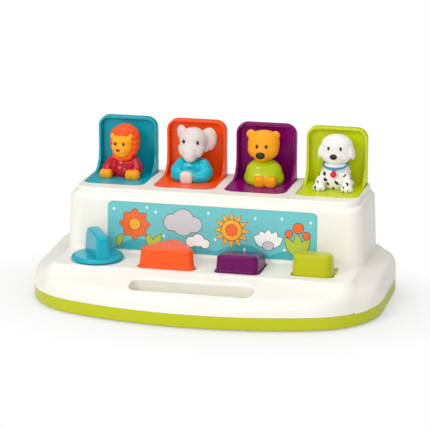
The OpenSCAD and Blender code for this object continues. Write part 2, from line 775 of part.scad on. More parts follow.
module dog_body() {
    color("#f2efe9") translate([lid_x[3], 0, 0]) {
        figure_body();
        for (s = [-1, 1]) paw(s * 13, 6.5);
    }
}

module dog_head() {
    color("#f6f3ee") translate([lid_x[3], 0, 0]) {
        figure_head();
        translate([0, head_y - 10, head_z - 6]) sphere(r = 8);
        for (s = [-1, 1]) translate([s * 15.5, head_y + 1, head_z - 1]) rotate([90, 0, 0]) cylinder(r = 7, h = 5);
    }
}

module dog_collar() {
    color("#1e94c6") translate([lid_x[3], figure_y, shoulder_z]) {
        rotate_extrude() translate([neck_r + 0.1, 0]) square([3.4, 2.2]);
        translate([0, -10, 0.9]) rotate([90, 0, 0]) cylinder(r = 0.9, h = 6);
        translate([0, -17.6, 0]) sphere(r = 2.6);
    }
}

base_tray();
feet();
tray_screws();
housing();
label_panel();
hinge_rod();
latch_rod();
lid(0, teal);  // lid_teal
lid(1, orange);  // lid_orange
lid(2, purple);  // lid_purple
lid(3, lime);  // lid_lime
lion_body();
lion_head();
elephant_body();
elephant_head();
bear_body();
bear_head();
dog_body();
dog_head();
dog_collar();
lid_spring(0);  // lid_spring_teal
lid_spring(1);  // lid_spring_orange
lid_spring(2);  // lid_spring_purple
lid_spring(3);  // lid_spring_lime
latch(0);  // latch_teal
latch(1);  // latch_orange
latch(2);  // latch_purple
latch(3);  // latch_lime
latch_spring(0);  // latch_spring_teal
latch_spring(1);  // latch_spring_orange
latch_spring(2);  // latch_spring_purple
latch_spring(3);  // latch_spring_lime
knob();
knob_cam();
knob_screw();
triangle_button();
button_spring();
rocker_key();
rocker_pin();
key_spring();
slide_block();
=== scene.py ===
from math import atan, atan2, cos, pi, radians, sin, sqrt, tan

import bmesh
import bpy
from mathutils import Matrix, Vector


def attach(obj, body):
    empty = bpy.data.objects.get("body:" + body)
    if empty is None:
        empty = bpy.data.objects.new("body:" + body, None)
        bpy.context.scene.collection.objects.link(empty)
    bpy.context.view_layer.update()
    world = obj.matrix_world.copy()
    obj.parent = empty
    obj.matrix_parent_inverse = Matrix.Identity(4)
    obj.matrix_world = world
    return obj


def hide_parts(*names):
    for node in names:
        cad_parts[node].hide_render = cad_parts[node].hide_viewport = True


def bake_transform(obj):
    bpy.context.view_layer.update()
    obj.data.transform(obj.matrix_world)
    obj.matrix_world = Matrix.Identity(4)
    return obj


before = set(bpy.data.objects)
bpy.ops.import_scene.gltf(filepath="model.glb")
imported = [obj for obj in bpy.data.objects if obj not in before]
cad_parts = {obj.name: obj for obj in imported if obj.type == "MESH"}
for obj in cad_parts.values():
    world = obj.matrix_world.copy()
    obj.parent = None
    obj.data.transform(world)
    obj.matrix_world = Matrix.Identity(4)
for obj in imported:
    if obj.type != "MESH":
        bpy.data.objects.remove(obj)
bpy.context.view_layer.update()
scene = bpy.context.scene

# ---- Camera ----
# A long lens, a little to the right of the toy and above it, aimed at the middle of the box. Its place and
# length were solved from the edges of the base, the box and the lids.
CAMERA_AZIMUTH, CAMERA_ELEVATION = radians(13.75), radians(15.05)
CAMERA_DISTANCE, LENS_MM, SENSOR_MM = 2.0848, 186.26, 36
CAMERA_AIM = Vector((0.01332, -0.0369, 0.09289))
camera_data = bpy.data.cameras.new("camera")
camera_data.sensor_width = SENSOR_MM
camera_data.lens = LENS_MM
camera_data.clip_end = 30
camera = bpy.data.objects.new("camera", camera_data)
scene.collection.objects.link(camera)
scene.camera = camera
camera_back = Vector((
    sin(CAMERA_AZIMUTH) * cos(CAMERA_ELEVATION),
    -cos(CAMERA_AZIMUTH) * cos(CAMERA_ELEVATION),
    sin(CAMERA_ELEVATION),
))
camera.location = CAMERA_AIM + camera_back * CAMERA_DISTANCE
camera.rotation_euler = camera_back.to_track_quat("Z", "Y").to_euler()

# ---- Studio ----
# A pale sweep of floor that fades to white away from the toy, a soft box above the front left, a larger one
# in front on the right, one overhead, and an even white surround.
scene.view_settings.view_transform = "Standard"
FLOOR_HALF = 6.0
LAMP_AIM = Vector((0, 0, 0.08))
WHITE = (1, 1, 1, 1)


def linear(rgb):
    """A colour written in 0-255 display values, as the shader wants it."""
    out = []
    for c in rgb:
        c = c / 255
        out.append(c / 12.92 if c <= 0.04045 else ((c + 0.055) / 1.055) ** 2.4)
    return (*out, 1.0)


def add(tree, kind, inputs=None, **settings):
    """A new node in the tree, with its settings and the values of its inputs."""
    made = tree.nodes.new(kind)
    for name, value in settings.items():
        setattr(made, name, value)
    for socket, value in (inputs or {}).items():
        made.inputs[socket].default_value = value
    return made


def wire(tree, *runs):
    """Links in the tree, each written as node, output, node, input."""
    for source, out, target, into in runs:
        tree.links.new(source.outputs[out], target.inputs[into])


floor_mesh = bpy.data.meshes.new("floor")
floor_mesh.from_pydata([(x * FLOOR_HALF, y * FLOOR_HALF, 0) for x, y in ((-1, -1), (1, -1), (1, 1), (-1, 1))],
                       [], [(0, 1, 2, 3)])
floor = bpy.data.objects.new("floor", floor_mesh)
scene.collection.objects.link(floor)
floor_paint = bpy.data.materials.new("pale_floor")
floor_paint.use_nodes = True
tree = floor_paint.node_tree
shader = tree.nodes["Principled BSDF"]
shader.inputs["Base Color"].default_value = (0.86, 0.86, 0.86, 1)
shader.inputs["Roughness"].default_value = 0.9
glow = add(tree, "ShaderNodeEmission")
seen = add(tree, "ShaderNodeLightPath")
place = add(tree, "ShaderNodeTexCoord")
oval = add(tree, "ShaderNodeVectorMath", {1: (1.0, 1.55, 1.0)}, operation="MULTIPLY")
spread = add(tree, "ShaderNodeVectorMath", operation="LENGTH")
fade = add(tree, "ShaderNodeMapRange", {"From Min": 0.165, "From Max": 0.29, "To Min": 0.4},
           interpolation_type="SMOOTHSTEP")
share = add(tree, "ShaderNodeMath", operation="MULTIPLY")
mixed = add(tree, "ShaderNodeMixShader")
wire(tree, (place, "Object", oval, 0), (oval, 0, spread, 0), (spread, "Value", fade, "Value"),
     (fade, "Result", share, 0), (seen, "Is Camera Ray", share, 1), (share, "Value", mixed, "Fac"),
     (shader, "BSDF", mixed, 1), (glow, "Emission", mixed, 2),
     (mixed, "Shader", tree.nodes["Material Output"], "Surface"))
floor_mesh.materials.append(floor_paint)

world = bpy.data.worlds.new("surround")
scene.world = world
world.use_nodes = True
tree = world.node_tree
soft = tree.nodes["Background"]
soft.inputs["Color"].default_value = WHITE
soft.inputs["Strength"].default_value = 0.5
white = add(tree, "ShaderNodeBackground", {"Color": WHITE})
mirrored = add(tree, "ShaderNodeBackground", {"Color": WHITE})
toward = add(tree, "ShaderNodeTexCoord")
parts = add(tree, "ShaderNodeSeparateXYZ")
rise = add(tree, "ShaderNodeMapRange", {"From Min": 0.1, "From Max": 0.9, "To Min": 0.16, "To Max": 0.6})
seen = add(tree, "ShaderNodeLightPath")
in_mirror = add(tree, "ShaderNodeMixShader")
mixed = add(tree, "ShaderNodeMixShader")
wire(tree, (toward, "Generated", parts, 0), (parts, "Z", rise, "Value"),
     (rise, "Result", mirrored, "Strength"), (seen, "Is Glossy Ray", in_mirror, "Fac"),
     (soft, "Background", in_mirror, 1), (mirrored, "Background", in_mirror, 2),
     (seen, "Is Camera Ray", mixed, "Fac"), (in_mirror, "Shader", mixed, 1),
     (white, "Background", mixed, 2), (mixed, "Shader", tree.nodes["World Output"], "Surface"))

for name, spot, size, power in (
    ("key_box", (-0.95, -1.6, 1.25), 0.9, 15.6),
    ("fill_box", (0.65, -2.0, 0.75), 1.1, 10.0),
    ("top_box", (-0.1, 0.2, 1.9), 1.5, 12.0),
):
    lamp_data = bpy.data.lights.new(name, "AREA")
    lamp_data.size = size
    lamp_data.energy = power
    lamp = bpy.data.objects.new(name, lamp_data)
    lamp.location = spot
    lamp.rotation_euler = (Vector(spot) - LAMP_AIM).to_track_quat("Z", "Y").to_euler()
    scene.collection.objects.link(lamp)

# ---- Housing ----
# One white ABS moulding: the deck with its rounded rim, the raised box with four windows, and the hand hold
# through both. Ribs inside carry the steel rods; bosses take the screws from the tray below.
WARM_WHITE = (244, 241, 231)
BASE_W, BASE_D, FRONT_R, FRONT_CORNER, REAR_CORNER = 340, 204, 380, 75, 45
TRAY_TOP, WALL = 14, 2.4
DECK_Z, RIM_FRONT, RIM_REAR, RIM_R, DECK_MID_Y = 39.5, 28.5, 38, 8, 20
BOX_W, BOX_TOP, BOX_FRONT, BOX_REAR, BOX_CORNER = 294, 100, 0.6, 97, 17
LEAN, LEAN_RISE = 3.4, 61
SHOULDER_Z, SHOULDER_R, CAP_HALF_W, CAP_R = 89.5, 4.2, 139.1, 1.8
LID_X = [-105.75, -35.25, 35.25, 105.75]
LID_W, LID_CORNER, WINDOW_GAP = 60, 11, 0.6
PIVOT_Y, PIVOT_Z, LID_REACH, BARREL_R = 87.2, 95.2, 60, 4.8
ROD_BORE, RIB_X, RIB_HALF = 1.55, (-70.5, 0, 70.5, -137.85, 137.85), 1.5
LATCH_Y, LATCH_Z, LATCH_ARM_X, LATCH_ARM_Z = 15.5, 58, 18.5, 80
HANDLE = (-59, -87, 59, -66)
COLLAR_WALL, HOLD_LIP, HOLD_SLOPE = 2.2, 2.6, 0.215
KNOB_AT, KNOB_R, SLEEVE_R, SHAFT_BORE, CAM_BORE = (LID_X[0], -25), 25.2, 11.1, 6.4, 9.08
BUTTON_AT, KEY_SPRING_AT, BUTTON_R = (LID_X[1], -24), (LID_X[2], -36), 7
KEY_BOX, KEY_PIN_Y, KEY_PIN_Z = (14.25, -45, 56.25, -3), -7, 34.5
SLIDE_LEFT, SLIDE_RIGHT, SLIDE_FRONT = 86.25, 125.25, -38
SCREW_AT = [(s * x, y) for s in (-1, 1) for x, y in ((152, 62), (140, -36), (70.5, 86), (88, -74))]
BOSS_R, BOSS_TOP, REAR_BOSS_TOP, SCREW_HOLE_R = 4.5, 42, 50.5, 1.45
LEDGE_X0, LEDGE_X1, STOP_HALF, PEG_R, PEG_TIP = 1.25, 7.25, 3, 2, 10
LUG_OUT, RAIL_OUT, RAIL_LIP_OUT = 24, 25.4, 23.9
PANEL_HALF_W, PANEL_HALF_H, PANEL_CORNER = 103.4, 23.9, 5.4
AROUND = 320
QUARTER = [radians(a) for a in (0, 18, 36, 54, 72, 90)]
TOUCH = 1e-9


def arc(cx, cy, r, start, end, n):
    """Points on a circle from one angle to another, in degrees."""
    turns = [radians(start + (end - start) * i / n) for i in range(n + 1)]
    return [(cx + r * cos(a), cy + r * sin(a)) for a in turns]


def slab(x0, y0, x1, y1, front, rear, n=14):
    """A rectangle whose front and rear corners are rounded."""
    return (arc(x0 + front, y0 + front, front, 180, 270, n) + arc(x1 - front, y0 + front, front, 270, 360, n)
            + arc(x1 - rear, y1 - rear, rear, 0, 90, n) + arc(x0 + rear, y1 - rear, rear, 90, 180, n))


def footprint(inset):
    """The bowed outline of the base, drawn in by inset all round."""
    bow_y = FRONT_R - BASE_D / 2
    cx = BASE_W / 2 - FRONT_CORNER
    cy = bow_y - sqrt((FRONT_R - FRONT_CORNER) ** 2 - cx ** 2)
    turn = atan2(cy - bow_y, cx) * 180 / pi
    rx, ry = BASE_W / 2 - REAR_CORNER, BASE_D / 2 - REAR_CORNER
    front, rear = FRONT_CORNER - inset, REAR_CORNER - inset
    return (arc(0, bow_y, FRONT_R - inset, -180 - turn, turn, 60) + arc(cx, cy, front, turn, 0, 30)
            + arc(rx, ry, rear, 0, 90, 24) + arc(-rx, ry, rear, 90, 180, 24)
            + arc(-cx, cy, front, 180, 180 - turn, 30))


def piece(name, points, faces):
    """A new object from points in millimetres."""
    mesh = bpy.data.meshes.new(name)
    mesh.from_pydata([(x / 1000, y / 1000, z / 1000) for x, y, z in points], [], faces)
    made = bpy.data.objects.new(name, mesh)
    scene.collection.objects.link(made)
    return made


def tidy(made, merge=0.00001):
    """Doubles merged and faces turned outwards."""
    work = bmesh.new()
    work.from_mesh(made.data)
    bmesh.ops.remove_doubles(work, verts=work.verts, dist=merge)
    bmesh.ops.dissolve_degenerate(work, edges=work.edges, dist=merge / 2)
    bmesh.ops.recalc_face_normals(work, faces=work.faces)
    work.to_mesh(made.data)
    work.free()
    return made


def bands(rows, n, closed=False):
    """The faces between rows of n points each; closed joins the last row to the first."""
    faces = []
    for k in range(rows if closed else rows - 1):
        for i in range(n):
            j, m = (i + 1) % n, (k + 1) % rows
            faces.append((k * n + i, k * n + j, m * n + j, m * n + i))
    return faces


def loft(name, rings):
    """A closed solid through rings of equally many points."""
    n = len(rings[0])
    ends = [tuple(range(n))[::-1], tuple(range((len(rings) - 1) * n, len(rings) * n))]
    return tidy(piece(name, [p for ring in rings for p in ring], ends + bands(len(rings), n)), 0.000002)


def upright(name, outlines):
    """A solid through level outlines, each with its height."""
    return loft(name, [[(x, y, z) for x, y in outline] for outline, z in outlines])


def along_x(name, outline, x0, x1):
    """A solid whose outline in Y and Z runs from x0 to x1."""
    return loft(name, [[(x, y, z) for y, z in outline] for x in (x0, x1)])


def block(x0, x1, y0, y1, z0, z1):
    """A plain box."""
    return upright("block", [(((x0, y0), (x1, y0), (x1, y1), (x0, y1)), z) for z in (z0, z1)])


def bar(axis, r, start, end, a, b, n=40):
    """A round bar along X or Z; a and b place its axis."""
    ring = arc(0, 0, r, 0, 360 - 360 / n, n - 1)
    if axis == "x":
        return along_x("bar", [(a + p, b + q) for p, q in ring], start, end)
    return upright("bar", [([(a + p, b + q) for p, q in ring], z) for z in (start, end)])


def settle(made):
    """Replaces the object's mesh by what its modifiers make of it."""
    done = bpy.data.meshes.new_from_object(made.evaluated_get(bpy.context.evaluated_depsgraph_get()))
    made.modifiers.clear()
    old = made.data
    made.data = done
    bpy.data.meshes.remove(old)
    return made


def merged(target, operation, others):
    """Adds or takes away other solids, which are used up."""
    for other in others:
        step = target.modifiers.new("step", "BOOLEAN")
        step.operation = operation
        step.solver = "MANIFOLD"
        step.object = other
        bpy.context.view_layer.update()
        settle(target)
        bpy.data.objects.remove(other)
    return target


def smooth(made, angle=32):
    """Smooth shading with edges kept where faces turn by more than the angle."""
    made.data.shade_smooth()
    made.data.set_sharp_from_angle(angle=radians(angle))
    even = made.modifiers.new("even_normals", "WEIGHTED_NORMAL")
    even.keep_sharp = True
    even.weight = 80
    return made


def reach(outline, direction):
    """How far the outline lies from the middle of the deck in a direction."""
    dx, dy = direction
    best = 0
    for (x0, y0), (x1, y1) in zip(outline, outline[1:] + outline[:1]):
        y0, y1 = y0 - DECK_MID_Y, y1 - DECK_MID_Y
        ex, ey = x1 - x0, y1 - y0
        cross = dx * ey - dy * ex
        if abs(cross) > TOUCH:
            t = (x0 * ey - y0 * ex) / cross
            u = (x0 * dy - y0 * dx) / cross
            if t > 0 and -1e-6 <= u <= 1 + 1e-6:
                best = max(best, t)
    return best


def even_directions():
    """Directions from the middle of the deck to points evenly spaced along its outline."""
    outline = footprint(0)
    following = outline[1:] + outline[:1]
    steps = [sqrt((b[0] - a[0]) ** 2 + (b[1] - a[1]) ** 2) for a, b in zip(outline, following)]
    total, found, i, gone = sum(steps), [], 0, 0
    for k in range(AROUND):
        want = total * k / AROUND
        while gone + steps[i] < want:
            gone += steps[i]
            i += 1
        a, b = outline[i], outline[(i + 1) % len(outline)]
        t = (want - gone) / max(steps[i], TOUCH)
        x, y = a[0] + (b[0] - a[0]) * t, a[1] + (b[1] - a[1]) * t - DECK_MID_Y
        found.append((x / sqrt(x * x + y * y), y / sqrt(x * x + y * y)))
    return found


DIRECTIONS = even_directions()


def bend(a, b, c, n):
    """Points on a soft corner from a round b to c."""
    out = []
    for i in range(n + 1):
        t = i / n
        out.append(tuple((1 - t) ** 2 * p + 2 * t * (1 - t) * q + t * t * r for p, q, r in zip(a, b, c)))
    return out


def deck(inset, low):
    """The deck: walls, rounded rim, slope and flat top, or the hollow under it when inset is more than 0."""
    outer = footprint(inset)
    flat = slab(-BOX_W / 2 + inset, -54 + inset, BOX_W / 2 - inset, 95, 14, 14)
    rings = None
    for dx, dy in DIRECTIONS:
        far, near = reach(outer, (dx, dy)), reach(flat, (dx, dy))
        gap = far - near
        y = DECK_MID_Y + dy * far
        rim = RIM_FRONT + (RIM_REAR - RIM_FRONT) * (y + BASE_D / 2) / BASE_D - inset
        top = DECK_Z - inset
        edge = top - 1.3
        slope = max(0.0, (edge - rim) / max(gap - RIM_R, 1.0)) if gap > RIM_R + 1 else 0.0
        curl = min(RIM_R + 1.5, gap * 0.8)
        crown = edge - slope * gap
        profile = [(0, low)] + bend((0, crown - curl), (0, crown), (curl, crown + slope * curl), 8)
        s0 = max(curl, gap - 3.5)
        profile += [(s0 * 0.5 + curl * 0.5, crown + slope * (s0 * 0.5 + curl * 0.5))]
        profile += bend((s0, crown + slope * s0), (gap - 0.2, edge + 0.1), (gap + 1.6, top - 0.55), 4)
        profile += bend((gap + 2.3, top - 0.3), (gap + 3.6, top), (gap + 6.0, top), 4)
        if rings is None:
            rings = [[] for _ in profile]
        for ring, (s, z) in zip(rings, profile):
            ring.append((dx * (far - s), DECK_MID_Y + dy * (far - s), z))
    return loft("deck", rings)


def box_ring(inset, z):
    """The outline of the box at a height; its front leans back."""
    lean = LEAN * (z - 30) / LEAN_RISE
    side, r = lean * 0.7, BOX_CORNER - inset / 2
    return [(x, y, z) for x, y in slab(-BOX_W / 2 + inset + side, BOX_FRONT + inset + lean,
                                       BOX_W / 2 - inset - side, BOX_REAR - inset - lean * 0.2, r, r, 16)]


def box_body(inset):
    """The raised box up to its shoulder, with a soft foot on the deck, or its hollow."""
    rings = [box_ring(inset, z) for z in ((30, DECK_Z - 0.6) if inset == 0 else (20, 40))]
    if inset == 0:
        for rise, flare in ((0, 3.2), (0.35, 2.1), (1.0, 1.2), (1.9, 0.55), (3.1, 0.15), (4.6, 0)):
            rings.append([(x, y - flare * max(0.0, min(1.0, (14 - y) / 12)), z)
                          for x, y, z in box_ring(0, DECK_Z - 0.5 + rise)])
    rings += [box_ring(inset, z) for z in (60, 80, SHOULDER_Z)]
    for t in QUARTER[1:]:
        rings.append(box_ring(inset + SHOULDER_R * (1 - cos(t)), SHOULDER_Z - inset + 5 * sin(t)))
    return loft("box", rings)


def box_cap(inset):
    """The plateau round the windows, a step in from the shoulder, or its hollow."""
    def ring(extra, z):
        e = inset + extra
        return [(x, y, z) for x, y in slab(-CAP_HALF_W + e, 10 + e, CAP_HALF_W - e, 95.6 - e / 3,
                                           15 - e / 2, 10 - e / 2, 16)]
    if inset:
        rings = [ring(0, 86), ring(0, 94)]
    else:
        rings = [ring(-1.3, 88), ring(-1.3, 94.2), ring(-0.8, 94.7), ring(-0.3, 95.5), ring(0, 96.6)]
    rings += [ring(CAP_R * (1 - cos(t)), BOX_TOP - inset - CAP_R + CAP_R * sin(t)) for t in QUARTER]
    return loft("cap", rings)


def well(outline, low, lip_z, lip, grow=0.0, slope=0.0, rise_from=0.0):
    """A cutter for an opening whose upper lip is rounded; outline(g) gives the opening drawn out by g."""
    rings = [[(x, y, low) for x, y in outline(grow)]]
    for t in QUARTER:
        rings.append([(x, y, lip_z + slope * (y - rise_from) - lip + lip * sin(t))
                      for x, y in outline(grow + lip * (1 - cos(t)))])
    rings.append([(x, y, lip_z + slope * (y - rise_from) + 6) for x, y in outline(grow + lip * 1.05)])
    return loft("well", rings)


def rounded_polygon(centres, r, n=14):
    """Arcs of radius r about the centres of a convex shape's corners, counterclockwise."""
    out = []
    for (x0, y0), (x1, y1), (x2, y2) in zip(centres[-1:] + centres[:-1], centres, centres[1:] + centres[:1]):
        a = atan2(y1 - y0, x1 - x0) * 180 / pi - 90
        b = atan2(y2 - y1, x2 - x1) * 180 / pi - 90
        while b < a:
            b += 360
        out += arc(x1, y1, r, a, b, n)
    return out


def button_outline(g, tighten=0.0):
    """The triangular button's outline drawn out by g; tighten gives it blunter corners."""
    k = 1 - tighten / 10.66
    corners = ((-20.7, -10.66), (20.7, -10.66), (0, 18.34))
    return rounded_polygon([(-33.25 + dx * k, -28.34 + dy * k) for dx, dy in corners], BUTTON_R + g + tighten)


def key_outline(g):
    """The rocker key's opening drawn out by g."""
    return slab(KEY_BOX[0] - g, KEY_BOX[1] - g, KEY_BOX[2] + g, KEY_BOX[3] + g, 5 + g, 4 + g, 8)


def slide_outline(g):
    """The sliding block's opening, longer than the block, drawn out by g."""
    return slab(SLIDE_LEFT - g, SLIDE_FRONT - g, SLIDE_RIGHT + g, -2.3 + g, 5 + g, 3 + g, 8)


def knob_outline(g):
    """The knob's recess drawn out by g."""
    return arc(*KNOB_AT, KNOB_R + g, 0, 355, 71)


def hold_outline(g):
    """The hand hold drawn out by g."""
    return slab(HANDLE[0] - g, HANDLE[1] - g, HANDLE[2] + g, HANDLE[3] + g, 8 + g, 8 + g)


def label_point(u, v, out):
    """A point on the front panel: u to the right, v up from its middle, out from its face."""
    lean = atan(LEAN / LEAN_RISE)
    y0, z0 = BOX_FRONT + 35.9 * tan(lean), 65.9
    return (u, y0 - out * cos(lean) + v * sin(lean), z0 + v * cos(lean) + out * sin(lean))


housing = merged(deck(0, TRAY_TOP), "UNION", [box_body(0), box_cap(0)])
hollow = merged(deck(WALL, 12), "UNION", [box_body(WALL), box_cap(WALL + 0.2)])
kept = [block(x - RIB_HALF, x + RIB_HALF, -1, 96, 50, 99) for x in RIB_X]
kept += [bar("z", BOSS_R, 10, REAR_BOSS_TOP if y > 80 else BOSS_TOP, x, y) for x, y in SCREW_AT]
kept.append(upright("collar", [(hold_outline(COLLAR_WALL), z) for z in (10, 60)]))
kept.append(bar("z", SLEEVE_R, 27, 39, *KNOB_AT))
peg = arc(0, 0, PEG_R, 0, 345, 23)
for x in LID_X:
    kept.append(block(x + LEDGE_X0, x + LEDGE_X1, 90, 98, 78, 85))
    kept.append(block(x - STOP_HALF, x + STOP_HALF, 1, 13.45, 44, 49))
    kept.append(loft("peg", [[(x + LATCH_ARM_X + p, y, LATCH_ARM_Z + q) for p, q in peg]
                             for y in (3, PEG_TIP)]))
for s in (-1, 1):
    for middle, y0, y1, z0, z1 in (
        (LID_X[2] + s * LUG_OUT, -11, -3, 30.5, 38.5),
        (LID_X[3] + s * RAIL_OUT, -47, -4, 31.5, 38.5),
        (LID_X[3] + s * RAIL_LIP_OUT, -47, -4, 31.5, 33.5),
    ):
        kept.append(block(middle - RIB_HALF, middle + RIB_HALF, y0, y1, z0, z1))
merged(hollow, "DIFFERENCE", kept)
cuts = [hollow]
half = LID_W / 2 + WINDOW_GAP
for x in LID_X:
    cuts.append(well(lambda g: slab(x - half - g, 26.6 - g, x + half + g, 92.6 + g, LID_CORNER + g, 1 + g),
                     90, BOX_TOP, 0.7))
cuts.append(well(hold_outline, 0, 30.7, HOLD_LIP, slope=HOLD_SLOPE, rise_from=HANDLE[1]))
cuts += [well(outline, 31, DECK_Z, 1.0, grow=0.8) for outline in (button_outline, key_outline, slide_outline)]
cuts.append(well(knob_outline, DECK_Z - 0.9, DECK_Z, 0.8, grow=0.5))
cuts.append(bar("z", SHAFT_BORE, 20, 60, *KNOB_AT))
cuts.append(bar("z", CAM_BORE, 10, 37.1, *KNOB_AT))
for y, z in ((PIVOT_Y, PIVOT_Z), (LATCH_Y, LATCH_Z)):
    cuts.append(bar("x", ROD_BORE, -139.05, 139.05, y, z, 24))
cuts.append(bar("x", ROD_BORE, 9.25, 61.25, KEY_PIN_Y, KEY_PIN_Z, 24))
cuts += [bar("z", SCREW_HOLE_R, 5, 24, x, y, 20) for x, y in SCREW_AT]
panel = slab(-PANEL_HALF_W, -PANEL_HALF_H, PANEL_HALF_W, PANEL_HALF_H, PANEL_CORNER, PANEL_CORNER, 10)
cuts.append(loft("panel_recess", [[label_point(u, v, out) for u, v in panel] for out in (-0.5, 3)]))
merged(housing, "DIFFERENCE", cuts)
housing.name = housing.data.name = "housing_shell"
smooth(tidy(housing))


def group(name, inputs, outputs):
    """A shader node group with named sockets."""
    made = bpy.data.node_groups.new(name, "ShaderNodeTree")
    for label, kind, value in inputs:
        made.interface.new_socket(label, in_out="INPUT", socket_type=kind).default_value = value
    for label, kind in outputs:
        made.interface.new_socket(label, in_out="OUTPUT", socket_type=kind)
    return made, made.nodes.new("NodeGroupInput"), made.nodes.new("NodeGroupOutput")


# The faint ripple and flow marks that an injection moulded skin has.
ripple, given, gives = group(
    "moulded_skin",
    [("Scale", "NodeSocketFloat", 1.0), ("Ripple", "NodeSocketFloat", 0.3)],
    [("Height", "NodeSocketFloat"), ("Tone", "NodeSocketFloat")])
at = add(ripple, "ShaderNodeTexCoord")
sized = add(ripple, "ShaderNodeVectorMath", operation="SCALE")
wide = add(ripple, "ShaderNodeTexNoise", {"Scale": 45, "Detail": 3})
fine = add(ripple, "ShaderNodeTexNoise", {"Scale": 1400, "Detail": 1})
sum_of = add(ripple, "ShaderNodeMix")
wire(ripple, (at, "Object", sized, 0), (given, "Scale", sized, "Scale"), (sized, 0, wide, "Vector"),
     (sized, 0, fine, "Vector"), (given, "Ripple", sum_of, 0), (wide, "Fac", sum_of, 2),
     (fine, "Fac", sum_of, 3), (sum_of, 0, gives, "Height"), (wide, "Fac", gives, "Tone"))

# Edges rubbed a little paler by small hands. In a colour mix, sockets 6 and 7 are its two colours.
rubbed, given, gives = group(
    "rubbed_edges",
    [("Color", "NodeSocketColor", (0.8, 0.8, 0.8, 1)), ("Amount", "NodeSocketFloat", 0.25)],
    [("Color", "NodeSocketColor")])
form = add(rubbed, "ShaderNodeNewGeometry")
ramp = add(rubbed, "ShaderNodeMapRange", {"From Min": 0.54, "From Max": 0.66})
cloudy = add(rubbed, "ShaderNodeTexNoise", {"Scale": 180})
at = add(rubbed, "ShaderNodeTexCoord")
worn = add(rubbed, "ShaderNodeMath", operation="MULTIPLY")
often = add(rubbed, "ShaderNodeMath", operation="MULTIPLY")
paler = add(rubbed, "ShaderNodeMix", {7: (0.95, 0.93, 0.9, 1)}, data_type="RGBA")
wire(rubbed, (at, "Object", cloudy, "Vector"), (form, "Pointiness", ramp, "Value"),
     (ramp, "Result", worn, 0), (cloudy, "Fac", worn, 1), (worn, "Value", often, 0),
     (given, "Amount", often, 1), (often, "Value", paler, 0), (given, "Color", paler, 6),
     (paler, 2, gives, "Color"))


def plastic(name, rgb, rough=0.26, shift=0.05, bump=0.04, coat=0.05, rub=0.2, scale=1.0, shine=0.34):
    """A moulded plastic: even colour with slight flow tones, faint ripple and paler rubbed edges."""
    made = bpy.data.materials.new(name)
    made.use_nodes = True
    tree = made.node_tree
    body = tree.nodes["Principled BSDF"]
    for socket, value in (("Specular IOR Level", shine), ("Coat Weight", coat), ("Coat Roughness", 0.08)):
        body.inputs[socket].default_value = value
    base = linear(rgb)[:3]
    tones = {6: (*(c * (1 - shift) for c in base), 1), 7: (*(min(1, c * (1 + shift)) for c in base), 1)}
    skin = add(tree, "ShaderNodeGroup", {"Scale": scale}, node_tree=ripple)
    tone = add(tree, "ShaderNodeMix", tones, data_type="RGBA")
    edge = add(tree, "ShaderNodeGroup", {"Amount": rub}, node_tree=rubbed)
    gloss = add(tree, "ShaderNodeMapRange", {"To Min": rough - 0.05, "To Max": rough + 0.07})
    lump = add(tree, "ShaderNodeBump", {"Strength": bump, "Distance": 0.0004})
    wire(tree, (skin, "Tone", tone, 0), (tone, 2, edge, "Color"), (edge, "Color", body, "Base Color"),
         (skin, "Tone", gloss, "Value"), (gloss, "Result", body, "Roughness"),
         (skin, "Height", lump, "Height"), (lump, "Normal", body, "Normal"))
    return made


def finish(made, material, body, slot, *stands_for):
    """Gives a piece its material and its body, and hides the CAD nodes that it stands for; slot is not used.
    """
    made.data.materials.clear()
    made.data.materials.append(material)
    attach(made, body)
    if stands_for:
        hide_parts(*stands_for)
    return made


white_plastic = plastic("white_abs", WARM_WHITE, rough=0.3, shift=0.012, rub=0.1)
finish(housing, white_plastic, "base", "housing_white", "housing")

# ---- Base tray ----
# A lime ABS tray closes the underside. It has the hand hold's collar, eight counterbored screw bosses, two
# seats for coil springs, and a softly rounded lower edge.
LIME = (190, 196, 6)
FOOT_T, LOWER_R, SCREW_SEAT, SHANK_BORE, HEAD_BORE, PEG_BORE = 1.2, 1.8, 6, 1.7, 3.8, 3.05
SEAT_R, SEAT_Z, STEM_BORE = 8, 20, 2.9
FOOT_AT = [(s * x, y) for s in (-1, 1) for x, y in ((128, 72), (108, -52))]
TRAY_IN = FOOT_T + 0.3


def tray_ring(inset, z):
    """The base's outline drawn in by inset, with its height."""
    return footprint(inset), z


tray = upright("base_tray_shell", [
    *(tray_ring(LOWER_R * (1 - cos(t)), FOOT_T + LOWER_R - LOWER_R * sin(t)) for t in QUARTER[::-1]),
    *(tray_ring(inset, TRAY_TOP - drop) for inset, drop in ((0, 0.7), (0.12, 0.35), (0.5, 0.1), (0.9, 0)))])
inside = upright("inside", [tray_ring(WALL, FOOT_T + WALL), tray_ring(WALL, TRAY_TOP + 3)])
merged(tray, "DIFFERENCE", [inside])
merged(tray, "UNION", [bar("z", BOSS_R, TRAY_IN, TRAY_TOP, x, y) for x, y in SCREW_AT]
       + [upright("collar", [(hold_outline(COLLAR_WALL), z) for z in (TRAY_IN, TRAY_TOP)])]
       + [bar("z", SEAT_R, TRAY_IN, SEAT_Z, x, y) for x, y in (BUTTON_AT, KEY_SPRING_AT)])
under_lip = ((-1, 2.2), (FOOT_T, 2.0), (FOOT_T + 0.6, 0.9), (FOOT_T + 1.8, 0.15), (FOOT_T + 3, 0), (20, 0))
merged(tray, "DIFFERENCE", [upright("hold", [(hold_outline(g), z) for z, g in under_lip]),
                            bar("z", STEM_BORE, 3.6, 25, *BUTTON_AT)]
       + [bar("z", SHANK_BORE, 0, 16, x, y, 24) for x, y in SCREW_AT]
       + [bar("z", HEAD_BORE, 0, SCREW_SEAT, x, y, 32) for x, y in SCREW_AT]
       + [bar("z", PEG_BORE, 0, 8, x, y, 24) for x, y in FOOT_AT])
